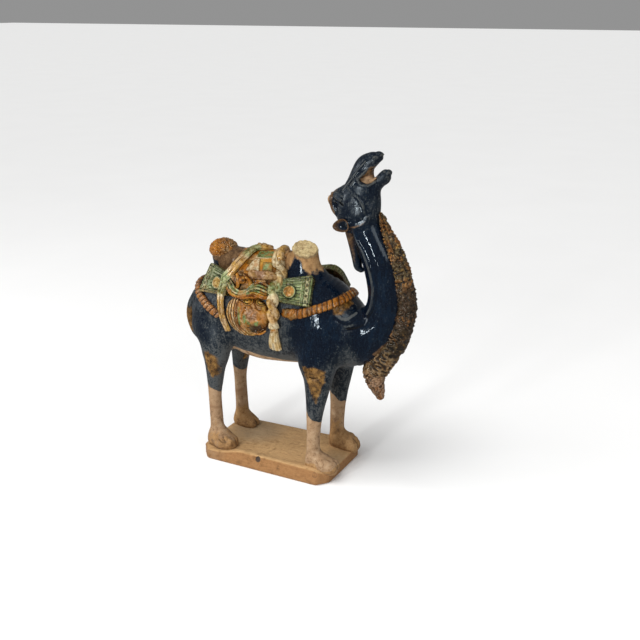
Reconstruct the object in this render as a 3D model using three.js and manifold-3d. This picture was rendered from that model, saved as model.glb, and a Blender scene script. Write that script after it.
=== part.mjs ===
// A glazed earthenware camel that stands on its own plinth, head thrown back and mouth open,
// with a saddle load, pack boards and hanging bags between its two humps.
// Millimetres, +Z up, +X towards the head. The origin is the middle of the plinth's underside.
import * as THREE from 'three';
import Module from 'manifold-3d';

const wasm = await Module();
wasm.setup();

// Driving sizes
const camelHeight = 580;       // soles to the tip of the upper lip
const plinthThickness = 20;
const plinthEndMargin = 2;     // clay beyond the heels and the toes
const plinthSideMargin = 12;   // clay beside the feet
const plinthClipLength = 18;   // cut corners, along the plinth
const plinthClipWidth = 23;    // cut corners, across the plinth

// The figure is drawn 580 high with its soles 20 above the ground, and keeps those proportions
const drawnHeight = 580;
const drawnSole = 20;
const share = camelHeight / drawnHeight;

const hindFoot = { x: -112, y: 52, z: 31, halfLength: 31, halfWidth: 21, halfHeight: 24 };
const foreFoot = { x: 101, y: 52, z: 31, halfLength: 30, halfWidth: 21, halfHeight: 24 };
const drawnMiddle = (hindFoot.x - hindFoot.halfLength + foreFoot.x + foreFoot.halfLength) / 2;

function place([x, y, z]) {
  return [(x - drawnMiddle) * share, y * share, plinthThickness + (z - drawnSole) * share];
}

// Turns points in final millimetres and index triples into a solid with its faces pointing out
function closeUp(points, faces) {
  const corner = (i) => new THREE.Vector3(...points[i]);
  let volume = 0;
  for (const [a, b, c] of faces) {
    volume += corner(a).dot(corner(b).cross(corner(c)));
  }
  const turned = volume < 0 ? faces.map(([a, b, c]) => [a, c, b]) : faces;
  return new wasm.Manifold(new wasm.Mesh({
    numProp: 3,
    vertProperties: new Float32Array(points.flat()),
    triVerts: new Uint32Array(turned.flat()),
  }));
}

// A closed skin over rings of points, with one point closing each end
function skin(first, rings, last) {
  const around = rings[0].length;
  const points = [first, ...rings.flat(), last].map(place);
  const end = points.length - 1;
  const at = (ring, k) => 1 + ring * around + (k % around);
  const faces = [];
  for (let k = 0; k < around; k++) {
    faces.push([0, at(0, k + 1), at(0, k)]);
    for (let ring = 0; ring < rings.length - 1; ring++) {
      faces.push([at(ring, k), at(ring, k + 1), at(ring + 1, k + 1)]);
      faces.push([at(ring, k), at(ring + 1, k + 1), at(ring + 1, k)]);
    }
    faces.push([end, at(rings.length - 1, k), at(rings.length - 1, k + 1)]);
  }
  return closeUp(points, faces);
}

// Every column of hand-set rows follows a smooth curve through its values
function blend(rows, count) {
  const last = rows.length - 1;
  const row = (i) => rows[Math.min(Math.max(i, 0), last)];
  return Array.from({ length: count }, (_, station) => {
    const t = (last * station) / (count - 1);
    const i = Math.min(Math.floor(t), last - 1);
    const f = t - i;
    return rows[0].map((_, c) => {
      const [p, q, r, s] = [row(i - 1)[c], row(i)[c], row(i + 1)[c], row(i + 2)[c]];
      const cubic = (3 * q - p - 3 * r + s) * f ** 3 + (2 * p - 5 * q + 4 * r - s) * f ** 2;
      return 0.5 * (cubic + (r - p) * f) + q;
    });
  });
}

const powered = (value, power) => Math.sign(value) * Math.abs(value) ** (2 / power);

// Limb rows are x, z, depth right of the run, depth left of it, half width, y of the middle.
// The run lies in an upright plane, and its ends are rounded off by the blunt share.
function limb(rows, { stations, around = 12, power = 2, blunt = 0.7, mirror = 1, knobs = 0 }) {
  const line = blend(rows, stations);
  const rings = [];
  const capAngles = [60, 30];
  function ring(station, forward, out, shrink) {
    const [x, z, right, left, half, y] = line[station];
    return Array.from({ length: around }, (_, k) => {
      const angle = (2 * Math.PI * k) / around;
      const knob = 1 + knobs * ((station + k) % 2 ? -1 : 1);
      const c = powered(Math.cos(angle), power) * shrink * knob;
      const depth = c > 0 ? c * right : c * left;
      const width = powered(Math.sin(angle), power) * half * shrink * knob;
      return [
        x + forward.y * depth + forward.x * out,
        mirror * (y + width),
        z - forward.x * depth + forward.y * out,
      ];
    });
  }
  function heading(station) {
    const a = line[Math.max(station - 1, 0)];
    const b = line[Math.min(station + 1, stations - 1)];
    return new THREE.Vector2(b[0] - a[0], b[1] - a[1]).normalize();
  }
  function cap(station, sign) {
    const [x, z, right, left, half, y] = line[station];
    const length = blunt * Math.min(right, left, half) * sign;
    const forward = heading(station);
    const tip = [x + forward.x * length, mirror * y, z + forward.y * length];
    const capRings = capAngles.map((angle) => {
      const a = THREE.MathUtils.degToRad(angle);
      return ring(station, forward, length * Math.sin(a), Math.cos(a));
    });
    return { tip, capRings };
  }
  const start = cap(0, -1);
  const finish = cap(stations - 1, 1);
  rings.push(...start.capRings);
  for (let station = 0; station < stations; station++) {
    rings.push(ring(station, heading(station), 0, 1));
  }
  rings.push(...finish.capRings.reverse());
  return skin(start.tip, rings, finish.tip);
}

function ball([x, y, z], [length, width, height], { around = 12, rings = 6, power = 2 } = {}) {
  const all = [];
  for (let i = 1; i < rings; i++) {
    const rise = -Math.PI / 2 + (Math.PI * i) / rings;
    const level = powered(Math.sin(rise), power);
    const reachOut = powered(Math.cos(rise), power);
    all.push(Array.from({ length: around }, (_, k) => {
      const turn = (2 * Math.PI * k) / around;
      return [
        x + length * reachOut * powered(Math.cos(turn), power),
        y + width * reachOut * powered(Math.sin(turn), power),
        z + height * level,
      ];
    }));
  }
  return skin([x, y, z - height], all, [x, y, z + height]);
}

// The barrel of the body and the load on its back, as runs from rump to breast
const torsoRows = [
  [-164, 282, 42, 41, 38, 0], [-150, 286, 56, 57, 50, 0], [-120, 288, 74, 74, 59, 0],
  [-80, 290, 86, 80, 63, 0], [-40, 288, 91, 84, 65, 0], [0, 288, 89, 86, 65, 0],
  [45, 290, 86, 88, 64, 0], [85, 292, 84, 84, 62, 0], [115, 288, 80, 65, 57, 0],
  [145, 280, 70, 46, 48, 0],
];
const loadRows = [[-75, 345, 40, 56, 50, 0], [-45, 345, 40, 60, 56, 0], [-5, 345, 40, 60, 56, 0]];

// Turns are measured round a level line just above the middle of the barrel, straight up being none
const barrelMiddle = torsoRows[5][1];
const axisHeight = barrelMiddle + 12;

function rowAt(rows, x) {
  const last = rows.length - 1;
  const inside = Math.min(Math.max(x, rows[0][0]), rows[last][0]);
  const i = Math.min(rows.findIndex((row) => row[0] >= inside), last);
  const j = Math.max(i - 1, 0);
  const f = i === j ? 0 : (inside - rows[j][0]) / (rows[i][0] - rows[j][0]);
  const beyond = Math.abs(x - inside);
  return { beyond, row: rows[i].map((value, c) => THREE.MathUtils.lerp(rows[j][c], value, f)) };
}

// How far the oval of a run reaches from the axis line in the direction of the turn
function ovalReach(rows, x, turn, endLength) {
  const { beyond, row } = rowAt(rows, x);
  if (beyond >= endLength) {
    return 0;
  }
  const shrink = Math.sqrt(1 - (beyond / endLength) ** 2);
  const [, z, below, above, half] = row;
  const rise = axisHeight - z;
  function solve(depth) {
    const [s, c] = [Math.sin(turn) / (half * shrink), Math.cos(turn) / (depth * shrink)];
    const lift = rise / (depth * shrink);
    const [a, b, d] = [s * s + c * c, c * lift, lift * lift - 1];
    return (-b + Math.sqrt(Math.max(b * b - a * d, 0))) / a;
  }
  const up = solve(above);
  return rise + up * Math.cos(turn) > 0 ? up : solve(below);
}

// A place on the body: x along it, degrees round it towards one side, and a lift off its skin
function onBody(x, degrees, lift, side) {
  const turn = THREE.MathUtils.degToRad(degrees);
  const torso = ovalReach(torsoRows, x, turn, 22);
  const load = ovalReach(loadRows, x, turn, 20);
  const r = Math.max(torso, load) + lift;
  return [x, -side * Math.sin(turn) * r, axisHeight + Math.cos(turn) * r];
}

// Band rows are x, degrees round the body, lift, half width across the run, half thickness.
// A waist parts the section into two strands, which the turns twist round each other.
function band(rows, side, { stations, around = 8, waist = 0, turns = 0, pleat = 0 }) {
  const line = blend(rows, stations);
  const middle = line.map(([x, degrees, lift]) => new THREE.Vector3(...onBody(x, degrees, lift, side)));
  const rings = middle.map((point, station) => {
    const before = middle[Math.max(station - 1, 0)];
    const after = middle[Math.min(station + 1, stations - 1)];
    const along = after.clone().sub(before).normalize();
    const out = new THREE.Vector3(0, point.y, point.z - axisHeight).normalize();
    const across = new THREE.Vector3().crossVectors(along, out).normalize();
    out.crossVectors(across, along);
    const [, , , half, thick] = line[station];
    const twist = (2 * Math.PI * turns * station) / (stations - 1);
    const fold = 1 + pleat * (station % 2 ? 1 : -1);
    return Array.from({ length: around }, (_, k) => {
      const angle = (2 * Math.PI * k) / around + twist;
      const size = fold * (1 - waist + waist * Math.cos(2 * (angle - twist)));
      return point.clone()
        .addScaledVector(across, Math.cos(angle) * half * size)
        .addScaledVector(out, Math.sin(angle) * thick * size)
        .toArray();
    });
  });
  const centreOf = (ring) => ring[0].map((_, axis) => ring.reduce((sum, p) => sum + p[axis], 0) / around);
  return skin(centreOf(rings[0]), rings, centreOf(rings[rings.length - 1]));
}

// A swelling on the body over an oval ground, its relief a height added at a place on it
function dome({ x, degrees, halfLength, halfTurn, height, power = 2, relief }, side) {
  const [around, steps, sunk] = [16, 4, -7];
  const rings = [];
  for (let step = steps; step >= 1; step--) {
    const out = step / steps;
    const swell = height * (1 - out ** 2.4) ** 0.5;
    rings.push(Array.from({ length: around }, (_, k) => {
      const angle = (2 * Math.PI * k) / around;
      const px = x + halfLength * out * powered(Math.cos(angle), power);
      const turn = degrees + halfTurn * out * powered(Math.sin(angle), power);
      const lift = step === steps ? 0 : swell + (relief ? relief(px, turn) : 0);
      return onBody(px, turn, lift, side);
    }));
  }
  rings.unshift(rings[0].map((_, k) => {
    const angle = (2 * Math.PI * k) / around;
    const px = x + halfLength * powered(Math.cos(angle), power);
    return onBody(px, degrees + halfTurn * powered(Math.sin(angle), power), sunk, side);
  }));
  const top = height + (relief ? relief(x, degrees) : 0);
  return skin(onBody(x, degrees, sunk, side), rings, onBody(x, degrees, top, side));
}

function body() {
  const neckRows = [
    [128, 274, 66, 44, 46, 0], [158, 276, 56, 44, 42, 0], [186, 292, 44, 38, 36, 0],
    [202, 320, 34, 36, 30, 0], [207, 350, 31, 35, 27, 0], [202, 382, 30, 34, 26, 0],
    [191, 415, 28, 32, 25, 0], [177, 445, 26, 29, 24, 0], [163, 470, 28, 27, 24, 0],
    [152, 490, 36, 32, 25, 0],
  ];
  const tailRows = [
    [-190, 305, 6, 6, 7, 0], [-201, 280, 8, 8, 10, 0], [-204, 255, 8, 8, 11, 0],
    [-197, 228, 7, 7, 9, 0], [-189, 214, 4, 4, 6, 0],
  ];
  const rumpRows = [[-176, 300, 14, 10, 10, 0], [-190, 308, 9, 7, 8, 0]];
  return [
    limb(torsoRows, { stations: 10, around: 12, blunt: 0.55 }),
    limb(neckRows, { stations: 11, around: 12 }),
    limb(tailRows, { stations: 6, around: 6, blunt: 1, knobs: 0.05 }),
    limb(rumpRows, { stations: 2, around: 6 }),
  ];
}

function head() {
  const skullRows = [
    [138, 484, 38, 26, 24, 0], [143, 500, 46, 32, 26, 0], [150, 520, 42, 32, 25, 0],
    [156, 540, 33, 28, 21, 0], [160, 558, 20, 24, 17, 0], [166, 572, 14, 22, 15, 0],
    [176, 582, 12, 17, 14, 0], [187, 589, 9, 11, 10, 0],
  ];
  const jawRows = [
    [160, 528, 26, 18, 20, 0], [176, 540, 18, 12, 15, 0], [189, 553, 13, 9, 12, 0],
    [199, 562, 9, 7, 10, 0], [206, 567, 5, 5, 8, 0],
  ];
  const browRows = [[100, 512, 8, 8, 13, 0], [112, 516, 12, 14, 16, 0], [126, 522, 14, 16, 16, 0]];
  const tuftRows = [[116, 480, 14, 5, 10, 0], [108, 495, 16, 8, 13, 0], [103, 510, 16, 7, 13, 0]];
  const maneRows = [
    [151, 394, 6, 6, 7, 0], [148, 410, 12, 8, 9, 0], [142, 435, 14, 9, 11, 0], [138, 458, 16, 9, 12, 0],
  ];
  const pieces = [
    limb(skullRows, { stations: 10, around: 12, blunt: 1 }),
    limb(jawRows, { stations: 5, around: 8, blunt: 0.8 }),
    limb(browRows, { stations: 3, around: 8 }),
    limb(tuftRows, { stations: 4, around: 6, knobs: 0.06 }),
    limb(maneRows, { stations: 7, around: 6, blunt: 1, knobs: 0.06 }),
  ];
  const earRows = [[130, 470, 6, 6, 6, -20], [118, 467, 8, 9, 5, -23]];
  const cheekRows = [
    [147, 536, 3, 3, 4, -20], [160, 520, 3, 3, 4, -22], [174, 499, 3, 3, 4, -20],
    [168, 482, 3, 3, 4, -21], [148, 471, 3, 3, 4, -20],
  ];
  for (const mirror of [1, -1]) {
    pieces.push(limb(earRows, { stations: 3, around: 6, mirror }));
    pieces.push(limb(cheekRows, { stations: 5, around: 4, mirror }));
    pieces.push(ball([121, -17 * mirror, 521], [7, 5, 5], { around: 6, rings: 4 }));
    pieces.push(ball([180, -12 * mirror, 583], [5, 4, 3], { around: 6, rings: 4 }));
  }
  return pieces;
}

function fringe() {
  const rows = [
    [188, 500, 9, 8, 9, 0], [196, 474, 14, 14, 13, 0], [209, 443, 16, 17, 17, 0],
    [223, 407, 18, 20, 18, 0], [234, 371, 19, 20, 19, 0], [239, 335, 20, 20, 19, 0],
    [234, 300, 22, 21, 20, 0], [219, 265, 26, 24, 21, 0], [198, 238, 26, 27, 21, 0],
    [179, 214, 22, 32, 20, 0], [183, 188, 24, 26, 17, 0], [196, 160, 12, 12, 9, 0],
  ];
  return [limb(rows, { stations: 22, around: 9, blunt: 0.8, knobs: 0.07 })];
}

// Shifts a leg's rows along the body, the more the lower they are
function lean(rows, shift) {
  const [hip, run] = [235, 90];
  return rows.map(([x, z, ...rest]) => {
    const low = THREE.MathUtils.clamp((hip - z) / run, 0, 1);
    return [x + shift * low, z, ...rest];
  });
}

// The cleft between the two toes, cut from above and in front
function toeCleft(foot, mirror) {
  const toe = foot.x + foot.halfLength;
  const [depth, half, top, floor] = [15, 2.2, foot.z + 14, drawnSole + 1];
  const y = -foot.y * mirror;
  const section = (x, width, low) => [[x, y - width, top], [x, y, low], [x, y + width, top]];
  return skin([toe - depth, y, top], [section(toe - depth + 1, 0.4, top - 3),
    section(toe + 4, half, floor)], [toe + 5, y, top]);
}

function legs() {
  const foreRows = [
    [90, 30, 16, 16, 14, -50], [88, 60, 12.5, 12.5, 12.5, -50], [89, 96, 13, 13, 12.8, -50],
    [90, 116, 14.5, 14, 14, -50], [92, 140, 17, 17, 16, -49], [94, 168, 22, 21.5, 19, -47],
    [95, 195, 28, 27, 23, -45], [94, 222, 38, 38, 27, -42], [94, 255, 44, 44, 30, -36],
    [96, 290, 40, 40, 26, -32],
  ];
  const hindRows = [
    [-122, 30, 16, 16, 14, -50], [-122, 60, 13, 12.5, 13, -50], [-123, 90, 12.3, 12.3, 12.5, -50],
    [-124, 124, 12.3, 12.3, 12.5, -50], [-123, 150, 15, 15, 15, -49], [-121, 180, 19, 19.5, 19, -48],
    [-119, 205, 26, 27, 24, -46], [-122, 232, 36, 32, 28, -42], [-130, 262, 42, 44, 30, -36],
    [-136, 290, 40, 40, 26, -30],
  ];
  const leg = { stations: 8, around: 8 };
  const pieces = [];
  for (const mirror of [1, -1]) {
    pieces.push(limb(foreRows, { ...leg, mirror }));
    pieces.push(limb(lean(hindRows, mirror > 0 ? 1.5 : -3.5), { ...leg, mirror }));
    for (const foot of [foreFoot, hindFoot]) {
      const size = [foot.halfLength, foot.halfWidth, foot.halfHeight];
      const pad = ball([foot.x, -foot.y * mirror, foot.z], size, { around: 10, rings: 5, power: 2.3 });
      pieces.push(pad.subtract(toeCleft(foot, mirror)));
    }
  }
  return pieces;
}

// The front hump is a stump broken off flat, and the rear hump has a curled knob of wool on top
function humps() {
  const frontRows = [
    [46, 350, 46, 48, 34, 0], [46, 385, 40, 38, 28, 0], [48, 408, 32, 32, 25, 0],
    [52, 428, 27, 23, 22, 0],
  ];
  const rearRows = [
    [-112, 345, 44, 44, 36, 0], [-114, 370, 32, 30, 26, 0], [-119, 395, 32, 32, 27, 0],
    [-120, 402, 26, 26, 24, 0],
  ];
  const breakNormal = new THREE.Vector3(0.12, -0.5, 0.86).normalize();
  const breakPoint = new THREE.Vector3(...place([52, -6, 423]));
  const stump = limb(frontRows, { stations: 4, around: 12, blunt: 0.5 });
  const broken = stump.trimByPlane(breakNormal.clone().negate().toArray(), -breakNormal.dot(breakPoint));
  const rear = limb(rearRows, { stations: 6, around: 10, blunt: 0.6, knobs: 0.03 });
  return [broken, rear];
}

// A pack board: a thick plank that widens towards its free end, slatted up to a plain band
// with a row of studs, and with a round boss near the load
function board({ root, tip, side, slats = 6 }) {
  const [thickness, groove, across] = [7, 1.4, slats * 2];
  const corner = ({ x, high, low }, f) => new THREE.Vector3(
    THREE.MathUtils.lerp(x[0], x[1], f),
    -side * THREE.MathUtils.lerp(high[0], low[0], f),
    THREE.MathUtils.lerp(high[1], low[1], f),
  );
  const rootMiddle = corner(root, 0.5);
  const along = corner(tip, 0.5).sub(rootMiddle).normalize();
  const down = corner(root, 1).sub(corner(root, 0)).normalize();
  const out = new THREE.Vector3().crossVectors(down, along).normalize();
  if (out.z < 0) {
    out.negate();
  }
  function edge(end, f, lift) {
    return corner(end, f).addScaledVector(out, lift).toArray();
  }
  const spots = Array.from({ length: across + 1 }, (_, k) => k / across);
  const between = (run) => ({
    x: [0, 1].map((k) => THREE.MathUtils.lerp(root.x[k], tip.x[k], run)),
    high: [0, 1].map((k) => THREE.MathUtils.lerp(root.high[k], tip.high[k], run)),
    low: [0, 1].map((k) => THREE.MathUtils.lerp(root.low[k], tip.low[k], run)),
  });
  const ring = (run, cut) => [
    ...spots.map((f, k) => edge(between(run), f, k % 2 ? thickness : thickness - cut)),
    edge(between(run), 1, 0),
    edge(between(run), 0, 0),
  ];
  const slatEnd = 0.72;
  const stretches = [ring(0, groove), ring(slatEnd, groove), ring(slatEnd + 0.02, 0), ring(1, 0)];
  const plank = skin(edge(root, 0.5, 0), stretches, edge(tip, 0.5, 0));
  const onBoard = (run, f, lift) => corner(root, f).lerp(corner(tip, f), run).addScaledVector(out, lift);
  const pieces = [plank];
  const dots = 5;
  for (let k = 0; k < dots; k++) {
    const at = onBoard(0.88, (k + 0.5) / dots, thickness);
    pieces.push(ball(at.toArray(), [3, 2.6, 2.6], { around: 4, rings: 2 }));
  }
  const boss = onBoard(0.34, 0.45, thickness - 1);
  pieces.push(ball(boss.toArray(), [9, 5, 8], { around: 8, rings: 4 }));
  return pieces;
}

function boards() {
  const frontBoard = {
    root: { x: [14, 24], high: [36, 362], low: [57, 330] },
    tip: { x: [80, 88], high: [24, 376], low: [56, 328] },
  };
  const rearBoard = {
    root: { x: [-84, -78], high: [39, 364], low: [56, 327] },
    tip: { x: [-130, -145], high: [20, 374], low: [43, 323] },
  };
  const moved = (end, dx, dy, dz) => ({
    x: end.x.map((x) => x + dx),
    high: [end.high[0] + dy, end.high[1] + dz],
    low: [end.low[0] + dy, end.low[1] + dz],
  });
  const farFront = { root: frontBoard.root, tip: moved(frontBoard.tip, 15, 5, 5) };
  return [
    ...board({ ...frontBoard, side: 1 }),
    ...board({ ...farFront, side: -1, slats: 3 }),
    ...board({ ...rearBoard, side: 1 }),
    ...board({ ...rearBoard, side: -1, slats: 3 }),
  ];
}

// Pleated edging of the saddle cloth, round the front hump and round the rear one
function frills() {
  const frontRows = [
    [130, 0, 1, 6, 5], [128, 27, 1, 6, 5], [117, 46, 1, 6, 5], [104, 60, 1, 6, 5],
    [86, 70, 1, 7, 5], [60, 76, 1, 8, 5],
  ];
  const rearRows = [
    [-170, 0, 1, 6, 5], [-164, 40, 1, 6, 5], [-150, 68, 1, 7, 5], [-129, 83, 1, 7, 5],
    [-109, 96, 1, 7, 5], [-92, 106, 1, 8, 5],
  ];
  const across = (rows) => [...rows.slice(1).reverse().map(([x, turn, ...rest]) => [x, -turn, ...rest]), ...rows];
  const cloth = [
    band(across(frontRows), 1, { stations: 35, around: 4, pleat: 0.14 }),
    band(across(rearRows), 1, { stations: 29, around: 4, pleat: 0.14 }),
  ];
  for (const side of [1, -1]) {
    const lobe = { x: 48, degrees: 78, halfLength: 20, halfTurn: 9, height: 5 };
    cloth.push(dome(lobe, side));
  }
  return cloth;
}

// A skein of two straight strands behind the bag, and a twisted skein that ends in a tassel
function skeins() {
  const plainRows = [
    [-10, -8, 4, 8, 5], [-30, -2, 5, 8, 5], [-49, 6, 6, 8, 5], [-56, 20, 6, 8, 5], [-69, 30, 8, 8, 5],
    [-82, 38, 14, 8, 5], [-87, 53, 10, 8, 5], [-86, 73, 7, 8, 5], [-83, 93, 5, 8, 5],
    [-78, 109, 4, 8, 5], [-73, 125, 2, 8, 5],
  ];
  const twistRows = [
    [4, 0, 4, 9, 8], [8, 14, 6, 9, 8], [13, 24, 8, 9, 8], [14, 44, 9, 9, 8], [19, 62, 9, 9, 8],
    [22, 80, 8, 9, 8], [21, 104, 6, 8, 7],
  ];
  const tasselRows = [[21, 101, 5, 6, 6], [20, 112, 5, 8, 5], [18, 124, 5, 10, 5], [17, 135, 4, 11, 4]];
  const pieces = [];
  for (const side of [1, -1]) {
    pieces.push(band(plainRows, side, { stations: 11, around: 8, waist: 0.25 }));
    pieces.push(band(twistRows, side, { stations: 17, around: 8, waist: 0.25, turns: 2.2 }));
    pieces.push(band(tasselRows, side, { stations: 4, around: 8 }));
  }
  return pieces;
}

// The bag on the near side carries a beast's face; the far one has plain folds
function bags() {
  const folds = (px) => (px < -52 ? 1.5 * Math.sin(px * 0.75) : 0);
  const bag = { x: -36, degrees: 89, halfLength: 46, halfTurn: 33, height: 14, power: 2.5, relief: folds };
  const bump = (x, turn, lift, size) => {
    const [length, width, height] = size;
    const rows = [[x - length, turn, lift, width, height], [x, turn, lift, width * 1.5, height * 1.5],
      [x + length, turn, lift, width, height]];
    return band(rows, 1, { stations: 4, around: 6 });
  };
  const browRows = [
    [-52, 63, 13, 3, 3], [-38, 55, 13, 3.5, 3.5], [-22, 62, 14, 3, 3], [-6, 55, 13, 3.5, 3.5],
    [8, 68, 12, 3, 3],
  ];
  const hairRows = [
    [-80, 46, 6, 3, 3], [-66, 54, 8, 4, 4], [-44, 55, 10, 4, 4], [-30, 47, 10, 5, 4],
    [-8, 46, 9, 5, 4], [6, 50, 7, 4, 3],
  ];
  const chinRows = [
    [-32, 82, 15, 2, 3], [-31, 100, 14, 2.5, 3.5], [-18, 112, 10, 2.5, 3.5], [-2, 111, 9, 2.5, 3.5],
    [8, 100, 10, 2, 3],
  ];
  const rollRows = [[-32, 31, 3, 6, 6], [-20, 31, 4, 8, 8], [0, 31, 4, 8, 8], [8, 31, 3, 6, 6]];
  const near = [
    band(browRows, 1, { stations: 11, around: 4 }),
    band(hairRows, 1, { stations: 10, around: 4 }),
    band(chinRows, 1, { stations: 9, around: 4 }),
    bump(-31, 67, 11, [4, 3.4, 3.4]),
    bump(-8, 67, 11, [4, 3.4, 3.4]),
    bump(-17, 82, 15, [7, 5, 5]),
    bump(-46, 42, 5, [8, 5, 6]),
    bump(-4, 41, 6, [6, 3, 4]),
    bump(-60, 40, 6, [5, 4, 5]),
  ];
  const pieces = [dome(bag, 1), dome(bag, -1), ...near];
  for (const side of [1, -1]) {
    pieces.push(band(rollRows, side, { stations: 5, around: 8 }));
  }
  return pieces;
}

function load() {
  return [limb(loadRows, { stations: 3, around: 12, blunt: 0.4 })];
}

// An upright-sided slab round the feet, its four corners cut off
function plinth() {
  const halfStance = foreFoot.x + foreFoot.halfLength - drawnMiddle;
  const halfLength = halfStance * share + plinthEndMargin;
  const halfWidth = (foreFoot.y + foreFoot.halfWidth) * share + plinthSideMargin;
  const clipX = halfLength - plinthClipLength;
  const clipY = halfWidth - plinthClipWidth;
  const outline = [
    [clipX, -halfWidth], [halfLength, -clipY], [halfLength, clipY], [clipX, halfWidth],
    [-clipX, halfWidth], [-halfLength, clipY], [-halfLength, -clipY], [-clipX, -halfWidth],
  ];
  const sides = outline.length;
  const points = [0, plinthThickness].flatMap((z) => outline.map(([x, y]) => [x, y, z]));
  const faces = [];
  for (let k = 0; k < sides; k++) {
    const next = (k + 1) % sides;
    faces.push([k, next, sides + next], [k, sides + next, sides + k]);
    if (k > 0 && k < sides - 1) {
      faces.push([0, k + 1, k], [sides, sides + k, sides + k + 1]);
    }
  }
  return [closeUp(points, faces)];
}

const pieces = [
  ...body(), ...head(), ...fringe(), ...legs(), ...humps(), ...load(),
  ...boards(), ...frills(), ...skeins(), ...bags(), ...plinth(),
];
const whole = pieces.reduce((sum, piece) => sum.add(piece));

// The underside of the feet is level with the plinth's top, so nothing hangs below the slab
const { vertProperties, triVerts } = whole.getMesh();
const geometry = new THREE.BufferGeometry();
geometry.setAttribute('position', new THREE.BufferAttribute(new Float32Array(vertProperties), 3));
geometry.setIndex(new THREE.BufferAttribute(new Uint32Array(triVerts), 1));

const cobaltGlaze = new THREE.MeshStandardMaterial({ color: 0x252c3a, roughness: 0.28, metalness: 0 });
const figure = new THREE.Mesh(geometry, cobaltGlaze);
figure.name = 'camel_figure';

const camel = new THREE.Group();
camel.add(figure);
export default camel;
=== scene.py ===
import math
import bpy
import numpy as np
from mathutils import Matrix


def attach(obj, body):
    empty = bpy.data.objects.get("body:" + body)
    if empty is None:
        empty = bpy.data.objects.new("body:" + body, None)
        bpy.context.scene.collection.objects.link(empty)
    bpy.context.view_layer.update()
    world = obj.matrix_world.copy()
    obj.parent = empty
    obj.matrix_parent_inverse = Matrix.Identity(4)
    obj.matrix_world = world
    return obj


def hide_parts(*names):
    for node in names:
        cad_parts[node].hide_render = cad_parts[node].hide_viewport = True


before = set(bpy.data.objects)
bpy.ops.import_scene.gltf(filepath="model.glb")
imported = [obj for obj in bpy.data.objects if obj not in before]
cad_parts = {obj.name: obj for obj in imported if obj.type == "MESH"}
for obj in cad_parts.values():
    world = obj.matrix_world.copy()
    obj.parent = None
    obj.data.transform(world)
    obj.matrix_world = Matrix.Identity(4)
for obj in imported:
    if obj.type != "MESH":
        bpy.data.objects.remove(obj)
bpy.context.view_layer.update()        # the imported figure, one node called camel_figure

print("frame loaded")

# Shapes are drawn in millimetres with the soles 20 above the ground, as the solid model is.
# Near is the camel's right flank, on the negative side of y.
drawn = {"middle": -6.0, "unit": 0.001}

# Glaze and clay colours, linear red, green and blue
palette = {
    "orange": (0.42, 0.140, 0.005),
    "cream": (0.54, 0.45, 0.28), "gold": (0.44, 0.25, 0.045), "amber": (0.34, 0.130, 0.014),
    "rust": (0.20, 0.070, 0.009), "brown": (0.15, 0.085, 0.038), "umber": (0.030, 0.015, 0.007),
    "green": (0.125, 0.18, 0.060), "paleGreen": (0.33, 0.36, 0.18), "darkGreen": (0.020, 0.036, 0.012),
    "buff": (0.36, 0.22, 0.10), "pink": (0.28, 0.165, 0.10), "ink": (0.008, 0.009, 0.011),
    "slate": (0.045, 0.048, 0.050), "olive": (0.12, 0.09, 0.035),
}


# Numbers that vary smoothly

# A Catmull-Rom curve through given rows, worked out for every column at once
def smoothRows(rows, count):
    points = np.array(rows, float)
    last = len(points) - 1
    t = np.linspace(0, last, count)
    i = np.minimum(t.astype(int), last - 1)
    f = (t - i)[:, None]
    held = np.vstack([2 * points[0] - points[1], points, 2 * points[-1] - points[-2]])
    a, b, c, d = held[i], held[i + 1], held[i + 2], held[i + 3]
    return b + 0.5 * ((c - a) * f + (2 * a - 5 * b + 4 * c - d) * f**2 + (3 * b - a - 3 * c + d) * f**3)


# A soft step: 0 below low, 1 above high, with no corner at either
def step(low, high, value):
    t = np.clip((value - low) / (high - low), 0, 1)
    return t * t * (3 - 2 * t)


# A repeatable number from 0 to 1 for each lattice point
def scrambled(lattice, seed):
    i, j, k = (lattice[..., axis] for axis in range(3))
    mixed = (i * 374761393 + j * 668265263 + k * 2147483647 + seed * 144269) & 0xFFFFFFFF
    mixed = ((mixed ^ (mixed >> 13)) * 1274126177) & 0xFFFFFFFF
    return ((mixed ^ (mixed >> 16)) & 0xFFFF) / 65535.0


cellCorners = np.array([(k & 1, k >> 1 & 1, k >> 2 & 1) for k in range(8)])


# Smooth noise from -1 to 1: lattice numbers blended between the corners of each cell
def cloud(points, size, seed=0):
    scaled = np.asarray(points, float) / size
    base = np.floor(scaled).astype(np.int64)
    part = scaled - base
    part = part * part * (3 - 2 * part)
    total = sum(np.prod(np.where(corner, part, 1 - part), -1) * scrambled(base + corner, seed)
                for corner in cellCorners)
    return total * 2 - 1


# The same noise on a plane of two lengths
def flatCloud(u, v, size, seed=0):
    return cloud(placed(u, v, 0.0), size, seed)


# Round knobs: 1 at scattered centres, one to a cell, falling to 0 about a knob's width from them
def knobs(points, size, seed=0):
    scaled = np.asarray(points, float) / size
    base = np.floor(scaled).astype(np.int64)
    nearest = np.full(scaled.shape[:-1], 9.0)
    for corner in range(27):
        cell = base + [corner % 3 - 1, corner // 3 % 3 - 1, corner // 9 - 1]
        lot = np.stack([scrambled(cell, seed + k) for k in range(3)], -1)
        nearest = np.minimum(nearest, ((scaled - cell - 0.15 - 0.7 * lot) ** 2).sum(-1))
    return np.clip(1 - 2.2 * nearest, 0, 1)


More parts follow.
